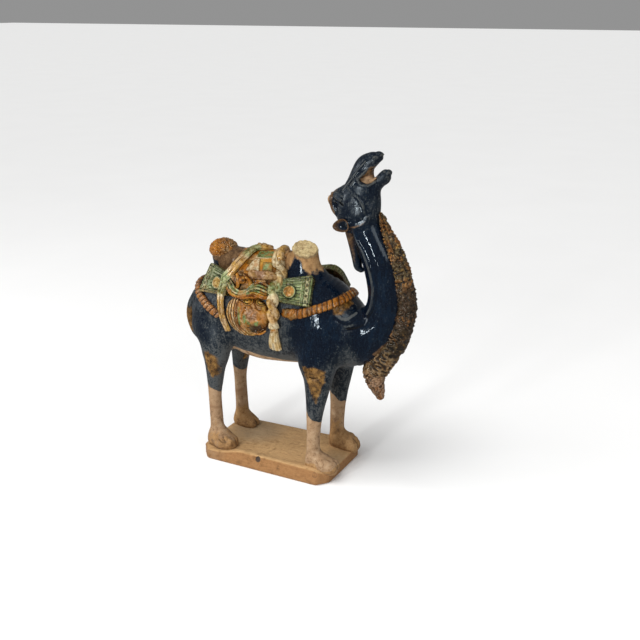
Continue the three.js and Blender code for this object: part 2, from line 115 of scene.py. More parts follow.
# Distance on a plane from each place to a line through the points, and the share of it passed
def toLine(u, v, points):
    points = np.array(points, float)
    best = np.full(np.shape(u), 1e9)
    along = np.zeros(np.shape(u))
    done = 0.0
    for a, b in zip(points[:-1], points[1:]):
        run = b - a
        length = np.hypot(*run)
        t = np.clip(((u - a[0]) * run[0] + (v - a[1]) * run[1]) / length**2, 0, 1)
        gap = np.hypot(u - a[0] - t * run[0], v - a[1] - t * run[1])
        nearer = gap < best
        best = np.where(nearer, gap, best)
        along = np.where(nearer, done + t * length, along)
        done += length
    return best, along / done


# Distance to the edge of a many-sided patch, positive inside it
def inPatch(u, v, corners):
    gap, _ = toLine(u, v, list(corners) + [corners[0]])
    inside = np.zeros(np.shape(u), bool)
    for (au, av), (bu, bv) in zip(corners, list(corners[1:]) + [corners[0]]):
        passes = (av > v) != (bv > v)
        inside ^= passes & (u < (bu - au) * (v - av) / (bv - av if bv != av else 1e-9) + au)
    return np.where(inside, gap, -gap)


# A round hill across a line: 1 on it, 0 at the width
def hill(gap, width):
    return np.sqrt(np.clip(1 - (gap / width) ** 2, 0, 1))


# A mound on an oval ground: 1 in the middle, 0 at the rim
def mound(u, v, middle, reach, power=0.5):
    gap = ((u - middle[0]) / reach[0]) ** 2 + ((v - middle[1]) / reach[1]) ** 2
    return np.clip(1 - gap, 0, 1) ** power


# Colours laid over a tint one after another, each by its own weight
def over(tint, *layers):
    for colour, weight in layers:
        weight = np.clip(weight, 0, 1)[..., None]
        tint = tint * (1 - weight) + np.array(palette[colour]) * weight
    return tint


# A colour from the palette for every place, with others laid over it
def tintOf(shape, colour, *layers):
    return over(np.zeros(tuple(shape) + (3,)) + palette[colour], *layers)


# Soft blots of noise on a surface, asked for by their size, own seed and the step's two ends
def blotsOn(points, seed=0):
    return lambda size, own, low, high: step(low, high, cloud(points, size, seed + own))


# Vectors brought to length one
def unit(vectors):
    return vectors / np.linalg.norm(vectors, axis=-1, keepdims=True)


# The length passed at each point of a line, and its columns at other lengths passed
def passedBy(steps):
    return np.concatenate([[0], np.cumsum(steps)])


def resampled(rows, passed, along):
    return np.stack([np.interp(along, passed, rows[:, k]) for k in range(rows.shape[1])], 1)


# Values round a closed ring, each blended with its neighbours
def smoothedRound(values, weights):
    return np.convolve(np.pad(values, len(weights) // 2, mode="wrap"), weights / weights.sum(), "valid")


# How wide a section is at a share of the way into a rounded end
def roundedEnd(share):
    return np.sqrt(np.clip(1 - (1 - share) ** 2, 0.0004, 1))[:, None]


# Angles round a ring, and directions all round a ball, as rings from its top to its foot
def turnsOf(count):
    return np.linspace(0, 2 * math.pi, count, endpoint=False)[None, :]


def ballWays(rows, columns, gap):
    up, turn = np.meshgrid(np.linspace(gap, math.pi - gap, rows), turnsOf(columns)[0], indexing="ij")
    return placed(np.sin(up) * np.cos(turn), np.sin(up) * np.sin(turn), np.cos(up))


# Woolly curls of two sizes, the smaller ones lower
def curlsOn(points, size, smaller, seed):
    return np.maximum(knobs(points, size, seed), 0.75 * knobs(points, size * smaller, seed + 1))


# Numbers set side by side as the three coordinates of places
def placed(u, v, w):
    return np.stack(np.broadcast_arrays(u, v, w), -1)


# Closed skins, as points, four-cornered and three-cornered faces, and painted numbers

# Turns a skin's faces round if its signed volume says that they point inwards
def outward(skin):
    points = skin["points"]
    triangles = np.vstack([skin["quads"][:, [0, 1, 2]], skin["quads"][:, [0, 2, 3]], skin["triangles"]])
    a, b, c = (points[triangles[:, k]] for k in range(3))
    if np.einsum("ij,ij->i", a, np.cross(b, c)).sum() < 0:
        skin["quads"] = skin["quads"][:, ::-1]
        skin["triangles"] = skin["triangles"][:, ::-1]
    return skin


# Four-cornered faces between neighbouring rows and columns of points
def gridFaces(rows, columns, closed):
    i, j = np.meshgrid(np.arange(rows - 1), np.arange(columns if closed else columns - 1), indexing="ij")
    k = (j + 1) % columns
    corners = [i * columns + j, i * columns + k, (i + 1) * columns + k, (i + 1) * columns + j]
    return np.stack(corners, -1).reshape(-1, 4)


# A skin's faces turned outwards, with each painted number spread over the grid of points
def closedSkin(grid, points, quads, triangles, paint, ends):
    rows, columns = grid.shape[:2]
    painted = {}
    for name, values in paint.items():
        values = np.asarray(values, float)
        values = np.broadcast_to(values, (rows, columns) + values.shape[2:])
        painted[name] = np.concatenate([values.reshape((rows * columns,) + values.shape[2:])] + ends(values))
    return outward({"points": points, "quads": quads, "triangles": triangles, "paint": painted})


# Rings of points joined into a closed tube, each end drawn together in its middle point
def tubeSkin(rings, **paint):
    rows, columns = rings.shape[:2]
    points = np.vstack([rings.reshape(-1, 3), rings[0].mean(0), rings[-1].mean(0)])
    first, last = rows * columns, rows * columns + 1
    j = np.arange(columns)
    k = (j + 1) % columns
    end = (rows - 1) * columns
    triangles = np.vstack([np.stack([np.full(columns, first), k, j], 1),
                           np.stack([np.full(columns, last), end + j, end + k], 1)])
    return closedSkin(rings, points, gridFaces(rows, columns, True), triangles, paint,
                      lambda values: [values[0].mean(0)[None], values[-1].mean(0)[None]])


# Two grids of points, one over the other, closed by a wall round their rim and painted alike
def sheetSkin(top, bottom, **paint):
    rows, columns = top.shape[:2]
    count = rows * columns
    faces = gridFaces(rows, columns, False)
    index = np.arange(count).reshape(rows, columns)
    rim = np.concatenate([index[0, :-1], index[:-1, -1], index[-1, :0:-1], index[:0:-1, 0]])
    after = np.roll(rim, -1)
    wall = np.stack([after, rim, rim + count, after + count], 1)
    return closedSkin(top, np.vstack([top.reshape(-1, 3), bottom.reshape(-1, 3)]),
                      np.vstack([faces, faces[:, ::-1] + count, wall]), np.zeros((0, 3), int), paint,
                      lambda values: [values.reshape((count,) + values.shape[2:])])


def addObject(name, data):
    thing = bpy.data.objects.new(name, data)
    bpy.context.collection.objects.link(thing)
    return thing


# Drawn places in metres about the figure's own middle
def inMetres(points):
    return (points - [drawn["middle"], 0, 0]) * drawn["unit"]


# Joins closed skins into one mesh
def makePiece(name, skins, material):
    points, loops, sizes, offset = [], [], [], 0
    for skin in skins:
        points.append(skin["points"])
        loops += [(skin[faces] + offset).ravel() for faces in ("quads", "triangles")]
        sizes += [np.full(len(skin[faces]), corners) for faces, corners in (("quads", 4), ("triangles", 3))]
        offset += len(skin["points"])
    points = inMetres(np.vstack(points))
    loops, sizes = np.concatenate(loops), np.concatenate(sizes)
    mesh = bpy.data.meshes.new(name)
    mesh.vertices.add(len(points))
    mesh.loops.add(len(loops))
    mesh.polygons.add(len(sizes))
    starts = np.concatenate([[0], np.cumsum(sizes)[:-1]])
    for part, key, values, kind in ((mesh.vertices, "co", points, np.float32),
                                    (mesh.loops, "vertex_index", loops, np.int32),
                                    (mesh.polygons, "loop_start", starts, np.int32),
                                    (mesh.polygons, "use_smooth", np.ones(len(sizes)), bool)):
        part.foreach_set(key, values.astype(kind).ravel())
    mesh.update(calc_edges=True)
    for key in sorted({key for skin in skins for key in skin["paint"]}):
        values = np.concatenate([skin["paint"][key] for skin in skins]).astype(np.float32)
        if values.ndim == 2:
            layer = mesh.attributes.new(key, "FLOAT_COLOR", "POINT")
            layer.data.foreach_set("color", np.hstack([values, np.ones((len(values), 1), np.float32)]).ravel())
        else:
            mesh.attributes.new(key, "FLOAT", "POINT").data.foreach_set("value", values)
    mesh.materials.append(material)
    piece = addObject(name, mesh)
    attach(piece, "root")
    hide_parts("camel_figure")
    print("made", name, "with", int((sizes - 2).sum()), "triangles")


# The modelled clay is a field that is negative inside, where its parts melt together

# The field's value far from all parts, and the room left round a part
fields = {"outside": 40, "margin": 8}


def emptyField(axes):
    return np.full([len(axis) for axis in axes], fields["outside"], np.float32)


def makeGrid(low, high, spacing):
    low = np.array(low, float)
    counts = np.ceil((np.array(high) - low) / spacing).astype(int) + 1
    axes = [(low[k] + spacing * np.arange(counts[k])).astype(np.float32) for k in range(3)]
    return {"low": low, "spacing": spacing, "axes": axes, "field": emptyField(axes)}


# The lower of two fields, rounded over where they are less than the blend apart
def melt(a, b, blend):
    h = np.clip(0.5 + 0.5 * (b - a) / blend, 0, 1)
    return b * (1 - h) + a * h - blend * h * (1 - h)


# The part of the grid between two corners: its slices and its coordinates
def block(grid, low, high):
    slices = []
    for axis, a, b in zip(grid["axes"], low, high):
        start, stop = np.searchsorted(axis, [a, b])
        slices.append(slice(max(start - 1, 0), stop + 1))
    return tuple(slices), [axis[part] for axis, part in zip(grid["axes"], slices)]


def meltIn(grid, slices, shape, blend, cut):
    old = grid["field"][slices]
    grid["field"][slices] = -melt(-old, shape, blend) if cut else melt(old, shape, blend)


# Distance from the middle of an oval shape less its reach in that direction
def ovalField(gaps, reaches, power):
    far = np.sqrt(sum(gap**2 for gap in gaps))
    oval = sum((gap / reach) ** power for gap, reach in zip(gaps, reaches)) ** (1 / power)
    return (far - far / np.maximum(oval, 1e-4)).astype(np.float32)


# An oval section carried along a run in an upright plane. Rows are x, z, depth right of the run,
# depth left of it, half width and y.
def addLimb(grid, rows, blend, blunt=0.7, cut=False, stations=48):
    line = smoothRows(rows, stations)
    margin = blend + fields["margin"]
    reach = np.abs(line[:, 2:5]).max() + margin
    low = [line[:, 0].min() - reach, (line[:, 5] - line[:, 4]).min() - margin, line[:, 1].min() - reach]
    high = [line[:, 0].max() + reach, (line[:, 5] + line[:, 4]).max() + margin, line[:, 1].max() + reach]
    slices, (xs, ys, zs) = block(grid, low, high)
    if min(len(xs), len(ys), len(zs)) == 0:
        return
    x, z = xs[:, None], zs[None, :]
    best = np.full((len(xs), len(zs)), 1e9, np.float32)
    place, side, past = np.zeros_like(best), np.zeros_like(best), np.zeros_like(best)
    for i, (a, b) in enumerate(zip(line[:-1, :2], line[1:, :2])):
        length = np.hypot(*(b - a))
        ux, uz = (b - a) / length
        px, pz = x - a[0], z - a[1]
        t = px * ux + pz * uz
        across = px * uz - pz * ux
        held = np.clip(t, 0, length)
        gap = across**2 + (t - held) ** 2
        near = gap < best
        best, place, side, past = (np.where(near, new, old) for new, old in (
            (gap, best), (i + held / length, place), (across, side), (np.abs(t - held), past)))
    index = np.arange(stations)
    column = [np.interp(place, index, line[:, k]).astype(np.float32)[:, None, :] for k in range(6)]
    side, past = side[:, None, :], past[:, None, :]
    deep = np.where(side > 0, column[2], column[3])
    gaps = [np.abs(side), np.abs(ys[None, :, None] - column[5]), past]
    shape = ovalField(gaps, [deep, column[4], blunt * np.minimum(deep, column[4])], 2.0)
    meltIn(grid, slices, shape, blend, cut)


# An oval lump about a middle, squarer with a higher power
def addBall(grid, middle, radii, blend, power=2.0, cut=False):
    reach = [radius + blend + fields["margin"] for radius in radii]
    slices, axes = block(grid, [m - r for m, r in zip(middle, reach)], [m + r for m, r in zip(middle, reach)])
    if min(len(axis) for axis in axes) == 0:
        return
    gaps = [np.abs(gap) for gap in np.ix_(*(axis - m for axis, m in zip(axes, middle)))]
    meltIn(grid, slices, ovalField(gaps, radii, power), blend, cut)


# The same rows on both sides of the body
def addPairs(grid, lines, blend, blunt=0.7, cut=False):
    for line in lines:
        for side in (1, -1):
            addLimb(grid, [row[:5] + (row[5] * side,) for row in line], blend, blunt, cut)


# The field between grid points, blended from the eight around each place
def sampled(grid, points):
    values = grid["field"]
    scaled = (points - grid["low"]) / grid["spacing"]
    base = np.clip(np.floor(scaled).astype(int), 0, np.array(values.shape) - 2)
    part = np.clip(scaled - base, 0, 1)
    return sum(np.prod(np.where(corner, part, 1 - part), -1) * values[tuple(np.moveaxis(base + corner, -1, 0))]
               for corner in cellCorners)


# The field's slope at each place, from its values a little to either side
def slope(grid, points, reach):
    moves = np.eye(3) * reach
    return np.stack([(sampled(grid, points + move) - sampled(grid, points - move)) / (2 * reach)
                     for move in moves], -1)


# How the surface bends: positive on a ridge, negative in a hollow, in 1/mm
def bending(grid, points, reach):
    moves = np.vstack([np.eye(3), -np.eye(3)]) * reach
    around = sum(sampled(grid, points + move) for move in moves)
    return (around - 6 * sampled(grid, points)) / reach**2


# Surface nets: one point in each grid cell that the surface passes through, at the mean of its
# crossings with the cell's edges, and one face across each edge that it crosses
def fieldSkin(grid):
    field = grid["field"]
    inside = field < 0
    corners = [(i, j, k) for i in (0, 1) for j in (0, 1) for k in (0, 1)]
    shape = np.array(field.shape) - 1
    count = sum(inside[tuple(slice(c, c + n) for c, n in zip(corner, shape))].astype(np.int8)
                for corner in corners)
    cells = np.argwhere((count > 0) & (count < 8))
    index = np.full(shape, -1)
    index[tuple(cells.T)] = np.arange(len(cells))
    total, crossings = np.zeros((len(cells), 3)), np.zeros(len(cells))
    for a in corners:
        for axis in [axis for axis in range(3) if not a[axis]]:
            b = np.array(a)
            b[axis] = 1
            fa, fb = (field[tuple((cells + corner).T)] for corner in (a, b))
            crossed = (fa < 0) != (fb < 0)
            part = np.where(crossed, fa / np.where(crossed, fa - fb, 1), 0)
            total[crossed] += (np.array(a) + part[:, None] * (b - a))[crossed]
            crossings[crossed] += 1
    points = grid["low"] + (cells + total / crossings[:, None]) * grid["spacing"]
    quads = []
    for axis in range(3):
        u, v = [k for k in range(3) if k != axis]
        lower, upper = [slice(1, -1)] * 3, [slice(1, -1)] * 3
        lower[axis], upper[axis] = slice(None, -1), slice(1, None)
        at = np.argwhere(inside[tuple(lower)] != inside[tuple(upper)])
        at[:, [u, v]] += 1
        moves = np.zeros((4, 3), int)
        moves[[0, 3], u] = -1
        moves[[0, 1], v] = -1
        faces = np.stack([index[tuple((at + move).T)] for move in moves], 1)
        turned = inside[tuple(at.T)] != (axis == 1)
        faces[~turned] = faces[~turned][:, ::-1]
        quads.append(faces)
    for _ in range(2):
        rise = slope(grid, points, grid["spacing"])
        fall = sampled(grid, points) / np.maximum((rise**2).sum(-1), 0.3)
        points -= np.clip(fall, -1, 1)[:, None] * rise
    return outward({"points": points, "quads": np.vstack(quads), "triangles": np.zeros((0, 3), int),
                    "paint": {}})


# Body and head. Rows are x, z, depth right of the run, depth left of it, half width and y.

body = {
    "spacing": 2.15, "headSpacing": 1.15, "neckSeam": 438,
    "torso": [(-164, 282, 42, 41, 38, 0), (-150, 286, 56, 57, 50, 0), (-120, 288, 74, 74, 59, 0),
              (-80, 290, 86, 80, 63, 0), (-40, 288, 91, 84, 65, 0), (0, 288, 89, 86, 65, 0),
              (45, 290, 86, 88, 64, 0), (85, 292, 84, 84, 62, 0), (115, 288, 80, 65, 57, 0),
              (145, 280, 70, 46, 48, 0)],
    "neck": [(128, 274, 66, 44, 46, 0), (158, 276, 56, 44, 42, 0), (186, 292, 44, 38, 36, 0),
             (202, 320, 34, 36, 30, 0), (207, 350, 31, 35, 27, 0), (202, 382, 30, 34, 26, 0),
             (191, 415, 28, 32, 25, 0), (177, 445, 26, 29, 24, 0), (163, 470, 28, 27, 24, 0),
             (152, 490, 36, 32, 25, 0)],
    "tail": [(-190, 305, 6, 6, 7, 0), (-201, 280, 8, 8, 10, 0), (-204, 255, 8, 8, 11, 0),
             (-197, 228, 7, 7, 9, 0), (-189, 214, 4, 4, 6, 0)],
    "load": [(-75, 345, 40, 56, 50, 0), (-45, 345, 40, 60, 56, 0), (-5, 345, 40, 60, 56, 0)],
    "foreLeg": [(90, 30, 16, 16, 14, -50), (88, 60, 12.5, 12.5, 12.5, -50), (89, 96, 13, 13, 12.8, -50),
                (90, 116, 14.5, 14, 14, -50), (92, 140, 17, 17, 16, -49), (94, 168, 22, 21.5, 19, -47),
                (95, 195, 28, 27, 23, -45), (94, 222, 38, 38, 27, -42), (94, 255, 44, 44, 30, -36),
                (96, 290, 40, 40, 26, -32)],
    "hindLeg": [(-122, 30, 16, 16, 14, -50), (-122, 60, 13, 12.5, 13, -50),
                (-123, 90, 12.3, 12.3, 12.5, -50), (-124, 124, 12.3, 12.3, 12.5, -50),
                (-123, 150, 15, 15, 15, -49), (-121, 180, 19, 19.5, 19, -48),
                (-119, 205, 26, 27, 24, -46), (-122, 232, 36, 32, 28, -42),
                (-130, 262, 42, 44, 30, -36), (-136, 290, 40, 40, 26, -30)],
    "hindShift": {-1: 1.5, 1: -3.5},          # along the body at the foot, near and far
    "foreMore": 1.5,                          # how much deeper the far fore leg is
    # heel to toe, as rows of x, z, depth below, depth above, half width and y
    "feet": [[(86, 34, 22, 20, 15, -50), (100, 31, 20, 21, 18, -50), (114, 27, 17, 18, 20, -49),
              (127, 26, 15, 14, 19, -48)],
             [(87, 36, 22, 20, 15, 50), (100, 32, 20, 20, 18, 51), (114, 28, 17, 18, 20, 51),
              (125, 26, 14, 11, 19, 50)],
             [(-126, 38, 22, 20, 16, -51), (-114, 35, 20, 25, 20, -52), (-101, 31, 18, 20, 21, -52),
              (-89, 28, 16, 13, 19, -50)],
             [(-131, 34, 20, 18, 15, 51), (-120, 30, 18, 19, 18, 52), (-108, 27, 15, 14, 19, 52),
              (-100, 26, 13, 9, 17, 52)]],
    "toes": [(135, -46), (131, 50), (-79, -48), (-95, 52)],
    # lumps and splits of the soft toes: x, z, depths, half width and y
    "toeLumps": [(-96, 41, 8, -65), (-85, 36, 7, -62), (-106, 31, 8, -68), (-91, 30, 7, -66), (122, 37, 6, -59),
                 (112, 41, 6, -61), (122, 36, 6, 59), (112, 40, 6, 62)],
    "toeSplits": [[(-106, 42, 1, 1, 2, -71), (-96, 36, 1.3, 1.3, 2.5, -72), (-84, 38, 1, 1, 2, -69)],
                  [(-98, 48, 1, 1, 2, -66), (-92, 38, 1.2, 1.2, 2.5, -70), (-90, 28, 1, 1, 2, -71)],
                  [(-82, 44, 1, 1, 2, -60), (-78, 34, 1.2, 1.2, 2.5, -64), (-76, 26, 1, 1, 2, -64)]],
    # the split between the toes, from the toe's x: x, z, depths and half width
    "footSplit": [(-9, 42, 2, 2, 0.8), (-2, 35, 3, 3, 1.4), (2, 27, 4, 3, 2.2), (3, 19, 4, 3, 2.8)],
    "neckLines": [[(152, 470, 2, 2, 3, -21), (156, 452, 2, 2, 3, -21), (170, 430, 2.4, 2.4, 3, -23),
                   (183, 400, 2.4, 2.4, 3, -25), (190, 370, 2.4, 2.4, 3, -26), (188, 340, 2.4, 2.4, 3, -28),
                   (181, 322, 2, 2, 3, -31)]],
    "slot": [(88, 204, 1.2, 1.2, 3, -68), (97, 203, 1.7, 1.7, 3, -69), (106, 205, 1.2, 1.2, 3, -68)],
    "shoulderFolds": [[(128, 318, 3, 3, 3, -51), (140, 309, 3.5, 3.5, 3.5, -48), (153, 307, 3, 3, 3.5, -42),
                       (163, 314, 2.5, 2.5, 3, -34), (168, 324, 2, 2, 3, -28)],
                      [(150, 297, 1.5, 1.5, 2.5, -44), (164, 299, 1.8, 1.8, 2.5, -38),
                       (176, 306, 1.5, 1.5, 2.5, -34), (182, 322, 1.5, 1.5, 2.5, -30)]],
}

humps = {
    "front": [(46, 350, 46, 48, 34, 0), (45, 383, 39, 37, 28, 0), (49, 406, 26.5, 26.5, 19, -3),
              (52, 430, 22, 21.5, 14, -5)],
    "mound": [(-2, 372, 20, 22, 26, 0), (14, 374, 20, 20, 25, 0), (30, 372, 20, 20, 26, 0)],
    "lobe": ((14, -5, 392), (13, 19, 19)), "shoulder": ((-88, 0, 381), (27, 27, 24)),
    "rear": [(-112, 345, 44, 44, 36, 0), (-113, 370, 33, 31, 27, 0), (-120, 390, 27, 27, 23, 0),
             (-122, 399, 22, 22, 20, 0)],
    "block": ((-40, -62, 325), (125, 62, 436)),          # room for the front hump
    "breakPoint": (53, -6, 420.5), "normal": unit(np.array([0.12, -0.5, 0.86])),
}

headShape = {
    "skull": [(138, 484, 38, 26, 24, 0), (143, 500, 46, 32, 26, 0), (150, 520, 42, 32, 25, 0),
              (156, 540, 33, 28, 21, 0), (160, 558, 18, 24, 17, 0), (166, 572, 11.5, 22, 15, 0),
              (176, 582, 9, 17, 13.5, 0), (186, 588.5, 6.5, 11, 10, 0)],
    "jaw": [(160, 528, 26, 18, 20, 0), (175, 541, 17, 11, 15, 0), (186, 550, 12.5, 8.5, 13, 0),
            (194, 557.5, 13.5, 9, 12, 0), (200, 563, 11, 8.5, 10.5, 0), (204, 566, 6, 5, 7, 0)],
    "brow": [(100, 512, 8, 8, 13, 0), (112, 516, 12, 14, 16, 0), (126, 522, 14, 16, 16, 0)],
    "tuft": [(122, 478, 14, 4, 9, 0), (109, 494, 12, 7, 12, 0), (103, 508, 12, 7, 12, 0)],
    "mane": [(156, 392, 6, 4, 6, 0), (150, 398, 8, 6, 9, 0), (147, 412, 10, 7, 10, 0),
             (142, 435, 12, 8, 11, 0), (136, 458, 14, 9, 12, 0), (131, 470, 14, 8, 12, 0)],
    # pockets cut from each side for the open mouth, under the upper lip and along the lower lip
    "mouth": [[(184, 572, 2, 2, 8, -17), (174, 562, 4.5, 4.5, 8, -17), (165, 554, 6, 5, 8, -18)],
              [(163, 553, 5, 5, 8, -18), (174, 551, 5.5, 5, 8, -17), (185, 556, 3.5, 3, 8, -15)]],
    "lips": [[(182, 579, 1.2, 1.2, 2.0, -8), (173, 572, 1.6, 1.6, 2.2, -12), (161, 560, 1.8, 1.8, 2.4, -16),
              (156, 552, 1.8, 1.8, 2.4, -18), (161, 545, 2.2, 2.2, 2.6, -18), (173, 543, 2.2, 2.2, 2.6, -16),
              (185, 550, 2, 2, 2.4, -13)]],
    "cheekRidges": [[(139, 538, 1.8, 1.8, 3, -18), (150, 530, 2.2, 2.2, 3, -21.5),
                     (161, 521, 2.2, 2.2, 3, -22.5), (168, 509, 2, 2, 3, -22), (171, 497, 1.8, 1.8, 2.6, -21)]],
    "jawEdges": [[(146, 476, 4, 4, 5, -19), (160, 475, 4.5, 4.5, 5, -20), (171, 481, 4, 4, 5, -18),
                  (176, 492, 3, 3, 4, -17)]],
    "noseRidges": [[(128, 532, 1.7, 1.7, 2.5, -15), (142, 549, 1.9, 1.9, 2.5, -16),
                    (156, 570, 1.7, 1.7, 2.5, -14), (168, 583, 1.4, 1.4, 2, -13)],
                   [(134, 527, 1.7, 1.7, 2.5, -18), (144, 541, 1.9, 1.9, 2.5, -18),
                    (156, 557, 1.6, 1.6, 2.5, -16)]],
    "browRidges": [[(106, 524, 3, 3, 4, -12), (116, 526, 3.4, 3.4, 4, -15), (128, 523, 2.6, 2.6, 3.5, -19)]],
    "eyeBulges": [[(111, 521, 2.6, 2.6, 3, -15), (118, 520, 4.8, 4.8, 4.8, -18),
                   (127, 516, 3.4, 3.4, 3.8, -21)]],
    "underEye": [[(115, 514, 1.2, 1.2, 2.6, -16), (123, 512, 1.9, 1.9, 3.4, -19),
                  (132, 508, 1.2, 1.2, 2.8, -22)],
                 [(113, 508, 0.8, 0.8, 2, -15), (120, 502, 1.1, 1.1, 2.6, -18), (126, 494, 0.8, 0.8, 2, -22)]],
    "earRoots": [[(152, 482, 9, 7, 6, -19), (140, 477, 7, 7, 5, -23)]],
    "nostril": (184, 11, 589),
}


# A leg's rows moved along the body, the more the lower they are
def shiftedLeg(rows, shift, side):
    return [(x + shift * min(max((235 - z) / 90, 0), 1), z, a, b, c, -y * side) for x, z, a, b, c, y in rows]


def addNeck(grid):
    addLimb(grid, body["neck"], 14)
    addPairs(grid, body["neckLines"], 6)


# The head's parts, each with its blend and bluntness, then the ridges, hollows and nostrils of
# both sides
def addHead(grid):
    for key, blend, blunt in (("skull", 8, 1.0), ("jaw", 5, 0.8), ("brow", 6, 0.7), ("tuft", 4, 0.7),
                              ("mane", 2, 1.0)):
        addLimb(grid, headShape[key], blend, blunt)
    for key, blend in (("cheekRidges", 3), ("jawEdges", 6), ("browRidges", 3), ("eyeBulges", 1.5),
                       ("noseRidges", 1.6)):
        addPairs(grid, headShape[key], blend)
    addPairs(grid, headShape["underEye"], 2, cut=True)
    addPairs(grid, headShape["mouth"], 2, 1.0, cut=True)
    addPairs(grid, headShape["lips"] + headShape["earRoots"], 2.5)
    x, y, z = headShape["nostril"]
    for side in (-1, 1):
        addBall(grid, (x, y * side, z + 1), (4.5, 2.5, 3), 3)
        addBall(grid, (x + 2, (y + 2.5) * side, z), (3, 2.4, 1.3), 1, cut=True)


def buildBody():
    grid = makeGrid((-225, -90, 12), (262, 90, body["neckSeam"] + 6), body["spacing"])
    addLimb(grid, body["torso"], 1, 0.55)
    addNeck(grid)
    addLimb(grid, headShape["mane"], 2, 1.0)
    addLimb(grid, body["tail"], 5, 1.0)
    for side in (-1, 1):
        more = body["foreMore"] * (side > 0)
        addLimb(grid, [(x, z, a + more, b + more, c, -y * side) for x, z, a, b, c, y in body["foreLeg"]], 12)
        addLimb(grid, shiftedLeg(body["hindLeg"], body["hindShift"][side], side), 12)
    for foot, (toe, y) in zip(body["feet"], body["toes"]):
        addLimb(grid, foot, 7, 0.75)
        addLimb(grid, [(toe + x, *sizes, y) for x, *sizes in body["footSplit"]], 2.5, cut=True)
    for x, z, radius, y in body["toeLumps"]:
        addBall(grid, (x, y, z), (radius, radius * 0.8, radius * 0.8), 4)
    for rows in body["toeSplits"]:
        addLimb(grid, rows, 2, cut=True)
    addLimb(grid, humps["rear"], 10, 0.6)
    addBall(grid, *humps["shoulder"], 12)
    addBrokenHump(grid)
    addLimb(grid, body["load"], 8, 0.4)
    addLimb(grid, body["slot"], 1.5, cut=True)
    addPairs(grid, body["shoulderFolds"], 3, cut=True)
    return grid


# The front hump is shaped apart, cut off by the plane of its break, and then melted in
def addBrokenHump(grid):
    slices, axes = block(grid, *humps["block"])
    stump = {"axes": axes, "field": emptyField(axes)}
    addLimb(stump, humps["front"], 1, 0.5)
    above = [n * (axis - p) for n, axis, p in zip(humps["normal"], axes, humps["breakPoint"])]
    plane = above[0][:, None, None] + above[1][None, :, None] + above[2][None, None, :]
    stump["field"] = -melt(-stump["field"], -plane.astype(np.float32), 2.5)
    addLimb(stump, humps["mound"], 10)
    addBall(stump, *humps["lobe"], 5)
    grid["field"][slices] = melt(grid["field"][slices], stump["field"], 12)


def buildHead():
    grid = makeGrid((92, -34, body["neckSeam"] - 8), (222, 34, 606), body["headSpacing"])
    addNeck(grid)
    addHead(grid)
    return grid


# The part of a field on one side of a level plane
def trimmed(grid, level, keepAbove):
    away = (level - grid["axes"][2]) * (1 if keepAbove else -1)
    return dict(grid, field=np.maximum(grid["field"], away[None, None, :].astype(np.float32)))


bodyGrid = buildBody()
headGrid = buildHead()
print("body and head shaped")


# Glaze edges on the body, in the upright plane: places x and z

edges = {
    "foreShield": [(74, 222), (88, 221), (103, 224), (117, 218), (116, 198), (108, 178), (100, 154),
                   (94, 170), (86, 192)],
    "hindPatch": [(-133, 214), (-120, 218), (-106, 207), (-103, 190), (-106, 170), (-117, 164), (-126, 182)],
    "smear": [(117, 341), (130, 350), (142, 346), (147, 333), (139, 320), (127, 322)],
    "frontClay": [(-10, 397), (6, 393), (14, 386), (20, 382), (29, 391), (36, 399), (44, 402), (51, 398),
                  (58, 385), (64, 381), (76, 382), (86, 385), (93, 393)],
    "fringeSmear": [(238, 308), (237, 292), (226, 279), (212, 266), (197, 249)],
    "rearBrown": [(-190, 392), (-150, 384), (-124, 380), (-112, 366), (-90, 360), (-60, 358)],
    "bellyClay": [(-100, 30), (-83, 42), (-45, 44), (-7, 38), (41, 30), (70, 26)],
    "mouthBuff": [(157, 550), (160, 558), (167, 564), (173, 568), (178, 571), (179, 562), (184, 556),
                  (177, 549), (166, 545)],
    # the line of a painted highlight along the shoulder fold
    "foldHighlight": [(132, 320), (139, 314), (147, 312), (156, 318), (165, 329)],
    "jawLine": [(143.6, 472.4), (154.7, 473.5), (165.7, 478), (173, 485)],
    "footSlip": [(74, 30), (87, 32), (93, 39), (99, 37), (105, 32), (114, 25), (124, 25), (132, 27), (140, 40)],
}


farOutside = -30.0          # a painted distance where a kind of surface can't be


# A distance that holds only under a condition
def within(condition, gap):
    return np.where(condition, gap, farOutside)


# The height or breadth of a named edge at each x
def edgeAt(name, x):
    return np.interp(x, *np.array(edges[name], float).T)


# How far in mm a place lies inside the clay in the mouth
def mouthClay(x, outer, z):
    return within((z > 535) & (outer < 14), inPatch(x, z, edges["mouthBuff"]) + 1.0)


# How far it lies inside bare clay: the lower legs, the front hump, the belly or the mouth's rim
def bareClay(points):
    x, y, z = points.T
    outer, near = np.abs(y), y < 0
    level = np.where(x > 0, np.where(near, 128 - 0.74 * (x - 86), 131 - 0.78 * (x - 87)),
                     np.where(near, 141 - 0.7 * (x + 123), 145 - 0.2 * (x + 123)))
    legs = within(z < 200, (level - z + 4 * cloud(points * [1, 1, 0.4], 9, 10)) / 1.5)
    front = z - edgeAt("frontClay", x) + 5 * cloud(points * [1, 1, 0.5], 9, 8)
    front = within((z > 350) & (x > -10) & (x < 100), front * 0.16)
    belly = within((z < 236) & (x > -98) & (x < 68) & (outer <= 55), edgeAt("bellyClay", x) - outer)
    rim = np.minimum(mouthClay(x, outer, z), 556.5 + 0.35 * (x - 165) - z)
    return np.maximum.reduce([legs, front, belly, rim])


# How far it lies inside amber: patches on the shoulder, thigh and neck, and the edge of the tail
def amberGlaze(x, outer, z):
    patches = [within(outer > past, inPatch(x, z, edges[name]))
               for name, past in (("foreShield", 38), ("hindPatch", 36), ("smear", 8))]
    tail = within(x < -180, np.minimum.reduce([-197 - x, 276 - z, z - 226]))
    return np.maximum.reduce(patches + [tail])


